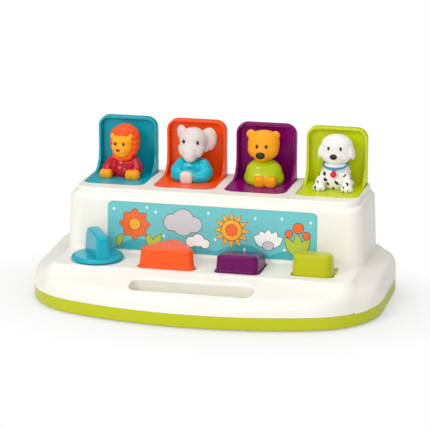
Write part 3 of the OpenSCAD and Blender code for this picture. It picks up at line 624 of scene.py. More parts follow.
smooth(tidy(tray))
finish(tray, plastic("lime_tray_abs", LIME, rough=0.3, shift=0.03), "base", "tray_lime", "base_tray")

# ---- Screws and feet ----
# Eight pan head screws in the tray's counterbores and four rubber discs pressed into its floor.
# Both are one shape set on a list of points.
TURN_EACH = 0.9


def lathe(profile, n):
    """Points and faces of a turned shape; the profile runs from axis to axis."""
    around = [2 * pi * i / n for i in range(n)]
    return [(r * cos(a), r * sin(a), z) for r, z in profile for a in around], bands(len(profile), n)


def set_on_points(name, unit, places, material):
    """A Geometry Nodes tree that sets one unit on each place, made into a plain mesh."""
    holder = piece(name, [(x, y, 0) for x, y in places], [])
    tree = bpy.data.node_groups.new(name + "_layout", "GeometryNodeTree")
    tree.interface.new_socket("Points", in_out="INPUT", socket_type="NodeSocketGeometry")
    turn_in = tree.interface.new_socket("Turn", in_out="INPUT", socket_type="NodeSocketFloat")
    tree.interface.new_socket("Pieces", in_out="OUTPUT", socket_type="NodeSocketGeometry")
    given, gives = tree.nodes.new("NodeGroupInput"), tree.nodes.new("NodeGroupOutput")
    fetch = add(tree, "GeometryNodeObjectInfo", {"Object": unit})
    each = add(tree, "GeometryNodeInstanceOnPoints")
    number = add(tree, "GeometryNodeInputIndex")
    times = add(tree, "ShaderNodeMath", operation="MULTIPLY")
    angle = add(tree, "ShaderNodeCombineXYZ")
    real = add(tree, "GeometryNodeRealizeInstances")
    paint = add(tree, "GeometryNodeSetMaterial", {"Material": material})
    wire(tree, (given, "Points", each, "Points"), (fetch, "Geometry", each, "Instance"),
         (number, "Index", times, 0), (given, "Turn", times, 1), (times, "Value", angle, "Z"),
         (angle, "Vector", each, "Rotation"), (each, "Instances", real, "Geometry"),
         (real, "Geometry", paint, "Geometry"), (paint, "Geometry", gives, "Pieces"))
    layout = holder.modifiers.new("layout", "NODES")
    layout.node_group = tree
    layout[turn_in.identifier] = TURN_EACH
    bpy.context.view_layer.update()
    settle(holder)
    bpy.data.objects.remove(unit)
    return holder


steel = bpy.data.materials.new("zinc_steel")
steel.use_nodes = True
tree = steel.node_tree
body = tree.nodes["Principled BSDF"]
body.inputs["Metallic"].default_value = 1.0
streak = add(tree, "ShaderNodeTexNoise", {"Scale": 900})
at = add(tree, "ShaderNodeTexCoord")
shade = add(tree, "ShaderNodeMapRange", {"To Min": 0.24, "To Max": 0.42})
tint = add(tree, "ShaderNodeMix", {6: linear((176, 180, 184)), 7: linear((206, 209, 212))}, data_type="RGBA")
wire(tree, (at, "Object", streak, "Vector"), (streak, "Fac", shade, "Value"), (streak, "Fac", tint, 0),
     (tint, 2, body, "Base Color"), (shade, "Result", body, "Roughness"))

rubber = plastic("grey_rubber", (62, 64, 67), rough=0.62, shift=0.08, bump=0.3, coat=0.0, rub=0.05, scale=2.0)

points, faces = lathe([(0.001, 4.0), (1.0, 3.85), (2.4, 3.8), (3.0, 4.0), (3.35, 4.5), (3.4, 5.2), (3.4, 6.0),
                       (1.4, 6.0), (1.4, 20.5), (0.9, 21.5), (0.001, 21.5)], 32)
screw = tidy(piece("screw_unit", points, faces))
merged(screw, "DIFFERENCE", [block(-2.1, 2.1, -0.4, 0.4, 2, 4.9), block(-0.4, 0.4, -2.1, 2.1, 2, 4.9)])
points, faces = lathe([(0.001, 0.35), (4.5, 0.35), (5.2, 0.0), (8.2, 0.0), (8.8, 0.25), (9.0, 0.7),
                       (9.0, FOOT_T), (3.0, FOOT_T), (3.0, 3.9), (2.6, 4.2), (0.001, 4.2)], 48)
foot = piece("foot_unit", points, faces)
for unit, name, places, material, slot, node in (
    (screw, "tray_screw_set", SCREW_AT, steel, "steel", "tray_screws"),
    (foot, "rubber_foot_set", FOOT_AT, rubber, "rubber", "feet"),
):
    settle(smooth(tidy(unit), 30))
    finish(smooth(set_on_points(name, unit, places, material), 30), material, "base", slot, node)

# ---- Rods, latches and cam ----
# Bright steel rods that run through the housing's ribs, and levers and a cam moulded in ivory acetal. All are
# hidden inside the housing, so their CAD shapes are kept and only given a material.
COLOURS = ("teal", "orange", "purple", "lime")
ivory = plastic("ivory_acetal", (221, 216, 203), rough=0.4, shift=0.03, coat=0.0, rub=0.1)
for names, material in ((("hinge_rod", "latch_rod", "rocker_pin", "knob_screw"), steel),
                        (("knob_cam", *("latch_" + colour for colour in COLOURS)), ivory)):
    for name in names:
        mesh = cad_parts[name].data
        mesh.materials.clear()
        mesh.materials.append(material)

# ---- Springs ----
# Coils of bright spring wire with the CAD's shape at rest.
BUTTON_COIL_TOP, KEY_COIL_TOP = 33.2, 32.0


def spring(name, node):
    """A coil of bright spring wire copied from a CAD spring, which it stands for."""
    coil = bpy.data.objects.new(name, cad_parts[node].data.copy())
    scene.collection.objects.link(coil)
    tidy(coil)
    coil.data.materials.clear()
    coil.data.materials.append(steel)
    coil.data.shade_smooth()
    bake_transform(coil)
    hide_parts(node)


for colour, x in zip(COLOURS, LID_X):
    spring("lid_coil_" + colour, "lid_spring_" + colour)
    spring("latch_coil_" + colour, "latch_spring_" + colour)
for name, (x, y), top in (("button", BUTTON_AT, BUTTON_COIL_TOP), ("key", KEY_SPRING_AT, KEY_COIL_TOP)):
    spring(name + "_coil", name + "_spring")

# ---- Lids ----
# Four ABS lids in teal, orange, purple and lime. Each is a back plate with a raised rim, a floor that closes
# the window while it is open, side webs that sweep from rim to floor, and a hinge barrel behind.
LID_TINTS = {"teal": (0, 165, 183), "orange": (255, 84, 14), "purple": (132, 0, 104), "lime": (202, 214, 0)}
RIM_DEPTH, RIM_T, SWEEP_R, FLOOR_LOW = 8.5, 2.8, 20, 97.8
LID_FRONT, LID_REAR = PIVOT_Y + BARREL_R - RIM_DEPTH, PIVOT_Y + BARREL_R


def plate_ring(inset, y, low):
    """The outline of the upright plate at a depth."""
    half = LID_W / 2 - inset
    top = PIVOT_Z + LID_REACH - inset
    r = LID_CORNER - inset
    corners = arc(half - r, top - r, r, 0, 90, 14) + arc(-half + r, top - r, r, 90, 180, 14)
    return [(x, y, z) for x, z in [(-half, low), (half, low)] + corners]


def make_lid():
    """One lid at the middle of the toy, in millimetres like every piece."""
    rings = [plate_ring(1.3 * (1 - sin(t)), LID_REAR - 1.3 + 1.3 * cos(t), 96) for t in QUARTER]
    rings += [plate_ring(1.2 * (1 - cos(t)), LID_FRONT + 1.2 - 1.2 * sin(t), 96) for t in QUARTER]
    lid = loft("lid", rings)
    back, low = PIVOT_Y + 2.6, BOX_TOP - 0.4
    rings = [plate_ring(RIM_T + 1.6 * (1 - sin(t)), back - 1.6 + 1.6 * cos(t), low) for t in QUARTER]
    rings += [plate_ring(RIM_T - 1.1 * (1 - cos(t)), LID_FRONT + 1.1 - 1.1 * sin(t), low) for t in QUARTER]
    rings.append(plate_ring(RIM_T - 1.15, LID_FRONT - 3, low))
    merged(lid, "DIFFERENCE", [loft("pocket", rings), block(-40, 40, 80, PIVOT_Y, 90, FLOOR_LOW)])
    edge = ((0.4, FLOOR_LOW), (0.1, 97.95), (0, 98.3), (0, 99.3), (0.1, 99.65), (0.35, 99.9), (0.7, BOX_TOP))
    add_ons = [upright("lid_floor", [
        (slab(-LID_W / 2 + inset, PIVOT_Y - LID_REACH + inset, LID_W / 2 - inset, LID_REAR - 0.6,
              LID_CORNER - inset, 0.5, 14), z) for inset, z in edge])]
    sweep = [(LID_FRONT + 1.2, 98.4), (LID_FRONT + 1.2, BOX_TOP + SWEEP_R + 1),
             *arc(LID_FRONT - SWEEP_R, BOX_TOP + SWEEP_R, SWEEP_R, 0, -90, 22), (LID_FRONT - SWEEP_R, 98.4)]
    for s in (-1, 1):
        web = along_x("web", sweep, *sorted((s * (LID_W / 2 - RIM_T), s * LID_W / 2)))
        soft_edge = web.modifiers.new("soft_edge", "BEVEL")
        soft_edge.width = 0.0011
        soft_edge.segments = 3
        soft_edge.angle_limit = radians(50)
        bpy.context.view_layer.update()
        add_ons.append(tidy(settle(web)))
    add_ons.append(bar("x", BARREL_R, -LID_W / 2, LID_W / 2, PIVOT_Y, PIVOT_Z, 56))
    for x in (-16, 4):
        add_ons.append(block(x - 4, x + 4, 24.6, 30.6, PIVOT_Z, PIVOT_Z + 2))
        add_ons.append(block(x - 4, x + 4, 27.4, 30.6, PIVOT_Z + 0.5, 98.2))
    merged(lid, "UNION", add_ons)
    merged(lid, "DIFFERENCE", [
        bar("x", ROD_BORE, -40, 40, PIVOT_Y, PIVOT_Z, 24),
        block(-6.25, 6.25, PIVOT_Y - 6, PIVOT_Y + 2.6, PIVOT_Z - 6, FLOOR_LOW),
        block(14, 23, PIVOT_Y - 1.5, PIVOT_Y + 1.1, 151.4, 158)])
    return smooth(tidy(lid), 34)


lid_unit = make_lid()
for (colour, rgb), x in zip(LID_TINTS.items(), LID_X):
    lid = lid_unit.copy()
    lid.data = lid_unit.data.copy()
    lid.data.transform(Matrix.Translation((x / 1000, 0, 0)))
    lid.name = lid.data.name = "lid_shell_" + colour
    scene.collection.objects.link(lid)
    shine = 0.12 if colour == "purple" else 0.24
    lid_abs = plastic("lid_abs_" + colour, rgb, rough=0.24, shift=0.035, coat=0.04, shine=shine)
    finish(lid, lid_abs, "lid_" + colour, colour, "lid_" + colour)
bpy.data.objects.remove(lid_unit)

# ---- Front panel ----
# A printed plastic sheet glued into a shallow recess of the box: clouds, flowers, sun, hills, leaves and
# berries in flat inks on turquoise, with thin dark outlines.
INKS = {
    "ground": (112, 202, 204), "outline": (92, 58, 44), "orange": (252, 108, 44), "amber": (253, 180, 46),
    "cloud": (205, 209, 212), "white": (250, 250, 246), "leaf": (190, 204, 60), "hill": (70, 176, 186),
}
inks = {}
for name, rgb in INKS.items():
    inks[name] = plastic("panel_" + name, rgb, rough=0.32, shift=0.015, bump=0.02, coat=0.2, rub=0.0)
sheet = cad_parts["label_panel"].data
sheet.materials.clear()
sheet.materials.append(inks["ground"])
prints = {name: ([], []) for name in INKS if name != "ground"}
FILM_FOOT, FILM_STEP = 0.29, 0.003
film_top = 0.3


def ink(name, outline):
    """One flat shape of ink, a closed film on the panel and on the films before it."""
    global film_top
    film_top += FILM_STEP
    points, faces = prints[name]
    start, n = len(points), len(outline)
    for out in (FILM_FOOT, film_top):
        points.extend(label_point(u, v, out) for u, v in outline)
    ends = [tuple(range(n))[::-1], tuple(range(n, 2 * n))]
    faces += [tuple(start + i for i in face) for face in ends + bands(2, n)]


def disc(u, v, r, squash=1.0, n=40):
    """A circle about u, v, or an oval when squash is below 1."""
    return [(u + r * cos(2 * pi * i / n), v + r * squash * sin(2 * pi * i / n)) for i in range(n)]


def petal(u, v, length, width, angle, grow=0.0):
    """A pointed oval from u, v outwards."""
    c, s = cos(radians(angle)), sin(radians(angle))
    half = []
    for i in range(13):
        t = i / 12
        half.append((-grow + (length + 2 * grow) * t, (width / 2 + grow) * sin(pi * t) ** 0.8))
    loop = half + [(a, -b) for a, b in half[-2:0:-1]]
    return [(u + a * c - b * s, v + a * s + b * c) for a, b in loop]


def outlined(name, shapes, line=0.55):
    """Shapes in one ink over slightly larger dark ones."""
    for shape, sizes in shapes:
        if shape is disc:
            u, v, r, *squash = sizes
            ink("outline", disc(u, v, r + line, *squash))
        else:
            ink("outline", petal(*sizes, grow=line))
    for shape, sizes in shapes:
        ink(name, shape(*sizes))


def hill(u0, u1, top, floor=-23.0, n=30):
    """A low mound on the panel's lower edge."""
    return [(u0, floor), (u1, floor)] + [(u1 + (u0 - u1) * i / n, floor + (top - floor) * sin(pi * i / n))
                                         for i in range(1, n)]


for u0, u1, top in ((-98, -44, -12), (-52, 14, -16), (0, 62, -11), (54, 98, -15)):
    ink("hill", hill(u0, u1, top))
outlined("orange", [(petal, (-76, 2, 15.5, 9.5, a)) for a in range(0, 360, 45)])
outlined("amber", [(disc, (-76, 2, 5.6))])
outlined("leaf", [(petal, (-58, -21, 17, 7, 62)), (petal, (-58, -21, 15, 6.5, 112)),
                  (petal, (-93, -21, 13, 6, 74))])
outlined("cloud", [(disc, sizes) for sizes in ((-39, 6, 8), (-28, 9, 10.5), (-17, 5, 7.5), (-28, 1, 9, 0.8))])
outlined("white", [(disc, sizes) for sizes in ((-20, -12, 5), (-13, -10, 6), (-6, -13, 4.4))])
outlined("amber", [(petal, (20, 2, 17.5, 4.6, a)) for a in range(0, 360, 30)], 0.45)
outlined("amber", [(disc, (20, 2, 10))])
outlined("orange", [(disc, (20, 2, 5.5))], 0.4)
outlined("white", [(petal, (56, -12, 17, 9, a)) for a in (35, 62, 90, 118, 145)])
outlined("cloud", [(disc, (56, -11, 5.2, 0.8))])
outlined("leaf", [(petal, (85, -20, 22, 8.5, a)) for a in (60, 92, 124)])
outlined("orange", [(disc, (85, 8, 5)), (disc, (76, 2, 3.6)), (disc, (93, 1, 3.6))])
for u, v in ((-97, 16), (-55, 15), (-47, -8), (-3, 17), (4, -8), (43, 15), (46, -2), (69, 16), (97, 14),
             (72, -14), (-64, 19), (33, -16)):
    ink("white", disc(u, v, 1.3, n=20))
for name, (points, faces) in prints.items():
    finish(tidy(piece("print_" + name, points, faces), 0.0000001), inks[name], "base", "label")

# ---- Knob ----
# A teal ABS knob: a bevelled disc on the deck with a thick blade across it, higher at the back, turned a
# little to the left. Its shaft goes down through the deck, where a screw holds the cam to it.
ROUND_BALL = [(cos(a) * cos(b), sin(a) * cos(b), sin(b)) for b in [radians(-90 + 15 * k) for k in range(13)]
              for a in [radians(15 * i) for i in range(24)]]
KNOB_TURNED, BLADE_SOFT = 32, 2.3
BLADE = ((4.4, -19, 44.5), (4.4, 19, 44.5), (4.0, -18.6, 56), (3.6, -17.9, 61.6), (3.3, -15.4, 64.0),
         (3.2, 2, 65.5), (3.2, 11, 65.5), (3.4, 15.8, 63.6), (3.8, 18.3, 59), (4.2, 18.9, 50))


def pebble(name, centres, r):
    """The smallest soft form round balls of radius r."""
    work = bmesh.new()
    for cx, cy, cz in centres:
        for x, y, z in ROUND_BALL:
            work.verts.new(((cx + r * x) / 1000, (cy + r * y) / 1000, (cz + r * z) / 1000))
    made = bmesh.ops.convex_hull(work, input=work.verts)
    inner = [g for g in set(made["geom_interior"] + made["geom_unused"]) if isinstance(g, bmesh.types.BMVert)]
    bmesh.ops.delete(work, geom=inner, context="VERTS")
    mesh = bpy.data.meshes.new(name)
    work.to_mesh(mesh)
    work.free()
    form = bpy.data.objects.new(name, mesh)
    scene.collection.objects.link(form)
    return tidy(form)


points, faces = lathe([(0.001, 23.1), (6, 23.1), (6, 39.9), (24.2, 39.9), (24.9, 40.1), (KNOB_R, 40.6),
                       (KNOB_R, 41.6), (24.9, 42.3), (24.2, 42.9), (22.6, 43.8), (21.6, 44.1),
                       (0.001, 44.1)], 96)
knob = tidy(piece("knob_turned", [(x + KNOB_AT[0], y + KNOB_AT[1], z) for x, y, z in points], faces))
turned = Matrix.Rotation(radians(KNOB_TURNED), 3, "Z")
blade = []
for half, y, z in BLADE:
    for x in (-half, half):
        p = turned @ Vector((x, y, z))
        blade.append((p.x + KNOB_AT[0], p.y + KNOB_AT[1], z))
merged(knob, "UNION", [pebble("blade", blade, BLADE_SOFT)])
merged(knob, "DIFFERENCE", [bar("z", SCREW_HOLE_R, 20, 35, *KNOB_AT, 20)])
smooth(tidy(knob), 34)
teal_plastic = plastic("knob_abs_teal", (0, 168, 188), rough=0.22, shift=0.035, coat=0.1, shine=0.28)
finish(knob, teal_plastic, "knob", "teal", "knob")

# ---- Triangular button ----
# An orange ABS push button with a flat top and soft edges. A flange holds it under the deck, its stem slides
# in the tray over a coil spring, and a wedge beside the stem works the latch.
SKIRT, SKIRT_TOP, DRAFT, BEND_FROM = 0.6, 43.0, 0.6, 42.0
FLANGE_Z0, FLANGE_Z1, WEDGE_HALF = 34.2, 36.8, 3


def capped(name, ring_at, low, flat_z, r, top_z=None, draft=DRAFT):
    """A block with a small skirt at the deck, a little draft, and an upper edge rounded by r.

    ring_at(inset) gives its outline drawn in; top_z(y) bends the flat top."""
    rings = [(0, low), (0, 40.6), (0.15, 41.1), (0.4, 41.5), (0.55, 42.1), (SKIRT, SKIRT_TOP)]
    side = flat_z - r
    rings += [(SKIRT + draft * k, SKIRT_TOP + (side - SKIRT_TOP) * k) for k in (0.5, 1.0)]
    for t in (radians(a) for a in range(10, 91, 10)):
        rings.append((SKIRT + draft + r * (1 - cos(t)), side + r * sin(t)))
    out = []
    for inset, z in rings:
        share = max(0.0, (z - BEND_FROM) / (flat_z - BEND_FROM))
        out.append([(x, y, z if top_z is None else z + (top_z(y) - flat_z) * share)
                    for x, y in ring_at(inset)])
    return loft(name, out)


def control_abs(name, rgb, coat, shine=0.28):
    """The semi-gloss ABS of a control."""
    return plastic(name, rgb, rough=0.24, shift=0.035, coat=coat, shine=shine)


button = capped("button_pushed", lambda inset: button_outline(-inset, 1.15 * inset), FLANGE_Z0, 58.3, 3.0)
flange = [(x, max(-49, min(-5, y))) for x, y in button_outline(4)]
wedge = ((-14, 35.2), (12.8, 35.2), (12.8, 25.7), (3.9, 13), (-1.1, 13), (-14, 32.2))
merged(button, "UNION", [upright("flange", [(flange, FLANGE_Z0), (flange, FLANGE_Z1)]),
                         bar("z", 2.6, 10, 36, *BUTTON_AT),
                         along_x("wedge", wedge, BUTTON_AT[0] - WEDGE_HALF, BUTTON_AT[0] + WEDGE_HALF)])
smooth(tidy(button), 34)
finish(button, control_abs("button_abs_orange", (252, 88, 18), 0.08), "button", "orange", "triangle_button")

# ---- Rocker key ----
# A purple ABS key that rocks on a steel pin at its back; its top falls towards the back, and an arm moulded
# below it reaches the latch.
KEY_TOP_Z, KEY_FALL = 56.2, 6.4


def key_top(y):
    """The height of the key's top, level at its front and falling to its back."""
    return KEY_TOP_Z - max(0.0, min(1.0, (y + 42) / 37)) * KEY_FALL


def key_ring(inset):
    """The key's outline; its front leans back and its corners tighten towards the top."""
    corner = max(3.5, 7 - inset * 0.35)
    return slab(KEY_BOX[0] + inset, KEY_BOX[1] + inset * 1.25, KEY_BOX[2] - inset, KEY_BOX[3] - inset * 0.55,
                corner, corner * 0.8, 12)


key = capped("key_rocked", key_ring, 33, 54, 3.4, key_top)
key_arm = ((-13, 34), (-5, 34), (9.6, 20.4), (9.6, 15.6), (3, 15.6))
merged(key, "UNION", [bar("x", 3.4, KEY_BOX[0] + 1, KEY_BOX[2] - 1, KEY_PIN_Y, KEY_PIN_Z),
                      along_x("arm", key_arm, LID_X[2] - 4, LID_X[2] + 4)])
merged(key, "DIFFERENCE", [bar("x", ROD_BORE, 10, 60, KEY_PIN_Y, KEY_PIN_Z, 24)])
smooth(tidy(key), 34)
finish(key, control_abs("key_abs_purple", (106, 0, 90), 0.06, 0.2), "key", "purple", "rocker_key")

# ---- Sliding block ----
# A lime ABS block moulded on a wide plate that runs in rails under the deck. The plate closes the gap behind
# the block, and a pusher below it works the latch.
PUSHER_HALF = 4


def slide_ring(inset):
    """The block's outline; its corners tighten towards the top."""
    corner = max(5.0, 8 - inset * 0.35)
    return slab(SLIDE_LEFT + inset, SLIDE_FRONT + inset, SLIDE_RIGHT - inset, -17 - inset * 0.8,
                corner, corner * 0.8, 12)


slide = capped("slide_moved", slide_ring, 36, 59, 3.6, draft=0.4)
merged(slide, "UNION", [block(SLIDE_LEFT - 4, SLIDE_RIGHT + 4, -45.5, 4, 33.8, 36.8),
                        block(LID_X[3] - PUSHER_HALF, LID_X[3] + PUSHER_HALF, -10, 9.6, 15.6, 34.4)])
smooth(tidy(slide), 34)
finish(slide, control_abs("slide_abs_lime", (186, 190, 0), 0.06), "slide", "lime", "slide_block")

# ---- Figures ----
# Four soft vinyl busts, each a painted body with a separate head on a neck peg. Bodies are glossy paint,
# heads matt vinyl; eyes and noses are small dots of gloss paint.
FIGURE_SHIFT = 0.6
FLAT, AMBER = (0, 0, 0), (250, 162, 12)


def ball_points(centre, radii, turn=FLAT, square=1.0, rings=16, around=24):
    """A ball with three radii; square below 1 swells it towards its box."""
    def swell(v):
        return abs(v) ** square * (1 if v > 0 else -1)
    x_turn, y_turn, z_turn = (Matrix.Rotation(radians(a), 3, axis) for a, axis in zip(turn, "XYZ"))
    spin = z_turn @ y_turn @ x_turn
    points = []
    for k in range(rings + 1):
        b = -pi / 2 + pi * k / rings
        for i in range(around):
            a = 2 * pi * i / around
            p = spin @ Vector((radii[0] * swell(cos(a)) * swell(cos(b)),
                               radii[1] * swell(sin(a)) * swell(cos(b)), radii[2] * swell(sin(b))))
            points.append((p.x + centre[0], p.y + centre[1], p.z + centre[2]))
    return points, bands(rings + 1, around)


def limb(path, n=9):
    """Overlapping balls along a path of (x, y, z, r)."""
    balls = []
    for a, b in zip(path, path[1:]):
        for i in range(n):
            t = i / (n - 1)
            x, y, z, r = (p + (q - p) * t for p, q in zip(a, b))
            balls.append(((x, y, z), (r, r, r)))
    return balls


def heaped(name, x, balls, merge=0.00001, **fineness):
    """All the balls of one figure at x in one mesh."""
    points, faces = [], []
    for ball in balls:
        ps, fs = ball_points(*ball, **fineness)
        start = len(points)
        points += [(p[0] + x + FIGURE_SHIFT, p[1], p[2]) for p in ps]
        faces += [tuple(start + i for i in f) for f in fs]
    return tidy(piece(name, points, faces), merge)


def clay(name, x, lumps, grain=0.75, rounds=6, cut=None):
    """Lumps pressed into one soft form, cut flat below a height."""
    form = heaped(name, x, lumps)
    whole = form.modifiers.new("whole", "REMESH")
    whole.mode = "VOXEL"
    whole.voxel_size = grain / 1000
    ease = form.modifiers.new("ease", "SMOOTH")
    ease.factor = 0.5
    ease.iterations = rounds
    bpy.context.view_layer.update()
    settle(form)
    if cut is not None:
        work = bmesh.new()
        work.from_mesh(form.data)
        bmesh.ops.bisect_plane(work, geom=work.verts[:] + work.edges[:] + work.faces[:], clear_outer=True,
                               plane_co=(0, 0, cut / 1000), plane_no=(0, 0, -1))
        bmesh.ops.holes_fill(work, edges=[e for e in work.edges if e.is_boundary], sides=0)
        bmesh.ops.recalc_face_normals(work, faces=work.faces)
        work.to_mesh(form.data)
        work.free()
    form.data.shade_smooth()
    form.data.set_sharp_from_angle(angle=radians(50))
    return form


def dot(name, x, balls):
    """Small smooth beads that need no pressing together."""
    bead = heaped(name, x, balls, 0.0000005, rings=14, around=28)
    bead.data.shade_smooth()
    return bead


def vinyl(name, rgb, gloss=False):
    """Soft vinyl, matt with a fine grain, or with a coat of gloss paint."""
    rough, bump, coat, shine = (0.2, 0.015, 0.2, 0.4) if gloss else (0.5, 0.16, 0.0, 0.3)
    return plastic(name, rgb, rough, 0.05, bump, coat, rub=0.1, scale=1.6, shine=shine)


black_gloss = vinyl("black_gloss_paint", (12, 11, 11), True)


# ---- Lion ----
# Crimson suit in gloss paint, amber paws, and a head moulded in orange vinyl: a mane with a scalloped edge
# round an amber face with two small brows.
CURLS, FRINGE, CURL_R = 17, 6, 3.7
lion_x = LID_X[0]
lion_body = clay("lion_suit", lion_x, [
    ((0.8, 69, 106), (15.5, 13.5, 12.5)), ((0.8, 69, 103), (17.2, 15, 8)),
    ((0.8, 67, 113), (12.5, 10.5, 6.5)), ((0.4, 60, 106), (10, 7, 8.5)),
    *limb([(-10.0, 65, 113, 6.4), (-14.0, 60, 107.5, 6.0), (-13.5, 54, 104.6, 5.2)]),
    *limb([(11.5, 65, 113, 6.4), (15.2, 60, 107.5, 6.2), (13.5, 54, 104.6, 5.4)])], cut=BOX_TOP)
finish(lion_body, vinyl("crimson_paint", (186, 0, 34), True), "lid_teal", "crimson", "lion_body")
lion_paws = clay("lion_paws", lion_x, [
    ((-16.2, 51.6, 103.6), (4.0, 5.4, 4.9), FLAT, 0.8), ((-11.4, 51.4, 103.6), (4.0, 5.4, 5.1), FLAT, 0.8),
    ((10.6, 50.9, 103.8), (4.6, 5.6, 5.2), FLAT, 0.8), ((16.0, 50.9, 103.8), (4.6, 5.6, 5.4), FLAT, 0.8)],
    grain=0.55, rounds=7, cut=BOX_TOP)
finish(lion_paws, vinyl("amber_paint", AMBER), "lid_teal", "amber")
curls = []
for k in range(CURLS):
    a = 2 * pi * k / CURLS + 0.1
    big, spread_x = (1.0, 11.9) if cos(a) > -0.2 else (0.75, 11.9 * 0.96)
    curls.append(((0.9 + spread_x * cos(a), 66.5, 132.4 + 14.6 * sin(a)), (CURL_R * big, 6.5, CURL_R)))
for k in range(FRINGE):
    bow = (k - 2.5) ** 2
    curls.append(((-7.4 + 3.1 * k, 60.4 + 0.25 * bow, 117.6 + 0.28 * bow), (2.6, 4.0, 3.2)))
lion_mane = clay("lion_mane", lion_x, [
    ((0.9, 71.5, 134.2), (14.6, 13.0, 16.8)), ((0.9, 69.5, 140.0), (14.9, 11.6, 10.2)),
    ((0.7, 65.4, 143.4), (12.6, 8.2, 5.6)), ((0.9, 63.5, 120.5), (10, 7, 5.6)), *curls], grain=0.65, rounds=3)
finish(lion_mane, vinyl("mane_orange_vinyl", (253, 84, 20)), "lid_teal", "mane_orange", "lion_head")
lion_face = clay("lion_face", lion_x, [
    ((0.2, 62.4, 135.8), (10.9, 7.6, 7.2)), ((-0.1, 62.0, 129), (10.4, 8.0, 9.2)),
    ((-1.2, 57.0, 126.0), (6.4, 4.6, 5.4)), ((-0.2, 58.6, 122.4), (6.4, 4.6, 3.6)),
    ((-8.9, 60, 140.4), (2.7, 2.2, 2.8)), ((9.0, 60, 140.4), (2.7, 2.2, 2.8))], grain=0.55, rounds=5)
finish(lion_face, vinyl("face_amber_vinyl", (252, 172, 22)), "lid_teal", "amber")
lion_eyes = dot("lion_eyes", lion_x, [((x, 54.8, z), (1.1, 0.8, 1.7))
                                      for x, z in ((-5.2, 133.4), (3.2, 133.3))])
finish(lion_eyes, black_gloss, "lid_teal", "amber")
lion_nose = dot("lion_nose", lion_x, [((-1.9, 52.4, 127.6), (2.1, 1.1, 1.6))])
finish(lion_nose, vinyl("magenta_paint", (188, 0, 72), True), "lid_teal", "crimson")

# ---- Elephant ----
# A pale grey head moulded in one with its wide ears and short trunk, with pink linings in the ears. The
# shirt is turquoise gloss paint, and the hands are held together in front.
GREY = (222, 211, 206)
elephant_x = LID_X[1]
elephant_body = clay("elephant_shirt", elephant_x, [
    ((0.2, 70, 107), (17.2, 14, 13.5), FLAT, 0.94), ((0.2, 69, 114), (13.6, 11, 7.5)),
    ((0.2, 68, 103.5), (18.6, 15, 7)), ((0.2, 61, 107), (13, 7, 8)),
    *limb([(-10.0, 65, 115, 6.6), (-13.8, 61.5, 109, 7.2), (-12.6, 57.5, 105.4, 6.8),
           (-7.5, 54.5, 105.2, 6.2)]),
    *limb([(10.8, 65, 115, 6.6), (14.8, 61.5, 108.6, 7.2), (13.4, 57.5, 105.2, 6.9),
           (7.6, 54.5, 105, 6.4)]),
    ((0.2, 57.6, 106.4), (12.5, 6.0, 6.8))], rounds=14, cut=BOX_TOP)
turquoise_paint = vinyl("turquoise_paint", (10, 182, 202), True)
finish(elephant_body, turquoise_paint, "lid_orange", "shirt_blue", "elephant_body")
elephant_hands = clay("elephant_hands", elephant_x, [((-2.1, 51.0, 104.6), (6.6, 5.0, 6.6), FLAT, 0.66)],
                      grain=0.55, rounds=8, cut=BOX_TOP)
finish(elephant_hands, vinyl("hand_grey_vinyl", GREY), "lid_orange", "elephant_grey")
elephant_head = clay("elephant_head_vinyl", elephant_x, [
    ((-0.1, 70, 138.4), (13.9, 12.8, 12.6)), ((-0.3, 64, 131.4), (13.6, 9.8, 8.8)),
    ((-0.2, 61, 128.0), (12.2, 8.0, 6.8)),
    *limb([(-0.3, 57.8, 127.2, 8.0), (0.1, 55.8, 125.4, 6.4), (0.5, 54.6, 124.2, 4.6)]),
    ((-12.2, 73, 144.2), (5.6, 2.3, 8.2), (0, -12, -10)), ((14.0, 75, 138.6), (8.6, 2.4, 12.0), (0, 6, 12)),
    ((-9, 72, 140), (4, 3, 8)), ((9.5, 74, 137), (4.5, 3, 9.5)), ((11.0, 73.5, 131.5), (4.2, 2.8, 6.0))])
finish(elephant_head, vinyl("grey_vinyl", GREY), "lid_orange", "elephant_grey", "elephant_head")
elephant_ears = clay("elephant_ear_linings", elephant_x, [
    ((-13.2, 71.4, 144.4), (3.3, 1.5, 5.8), (0, -12, -10)),
    ((15.2, 73.4, 138.8), (6.4, 1.6, 9.4), (0, 6, 12))], grain=0.5, rounds=4)
finish(elephant_ears, vinyl("ear_pink_vinyl", (226, 205, 200)), "lid_orange", "elephant_grey")
elephant_eyes = dot("elephant_eyes", elephant_x, [((-6.9, 57.9, 139), (1.35, 0.9, 1.95)),
                                                  ((7.3, 57.6, 138.4), (1.35, 0.9, 1.95))])
finish(elephant_eyes, black_gloss, "lid_orange", "elephant_grey")

# ---- Bear ----
# An amber vinyl head with round ears and a big black nose. The shirt is lime gloss paint over the body, and
# the amber paws lie side by side.
bear_x = LID_X[2]
bear_body = clay("bear_shirt", bear_x, [
    ((0.8, 70, 104.6), (20.0, 15.4, 10.5), FLAT, 0.9), ((0.8, 69.5, 109.5), (18.2, 13.8, 14.5), FLAT, 0.92),
    ((0.8, 61.0, 107), (16.0, 9.0, 9.4)), ((0.8, 58.6, 104), (15.5, 7.6, 6.6))], rounds=20, cut=BOX_TOP)
finish(bear_body, vinyl("lime_paint", (186, 204, 0), True), "lid_purple", "lime", "bear_body")
bear_paws = clay("bear_paws", bear_x, [
    ((0.0, 52.6, 104.6), (5.7, 4.8, 5.8), FLAT, 0.66), ((10.9, 52.8, 104.6), (5.7, 4.8, 5.7), FLAT, 0.66)],
    grain=0.55, rounds=7, cut=BOX_TOP)
finish(bear_paws, vinyl("paw_amber_vinyl", AMBER), "lid_purple", "amber")
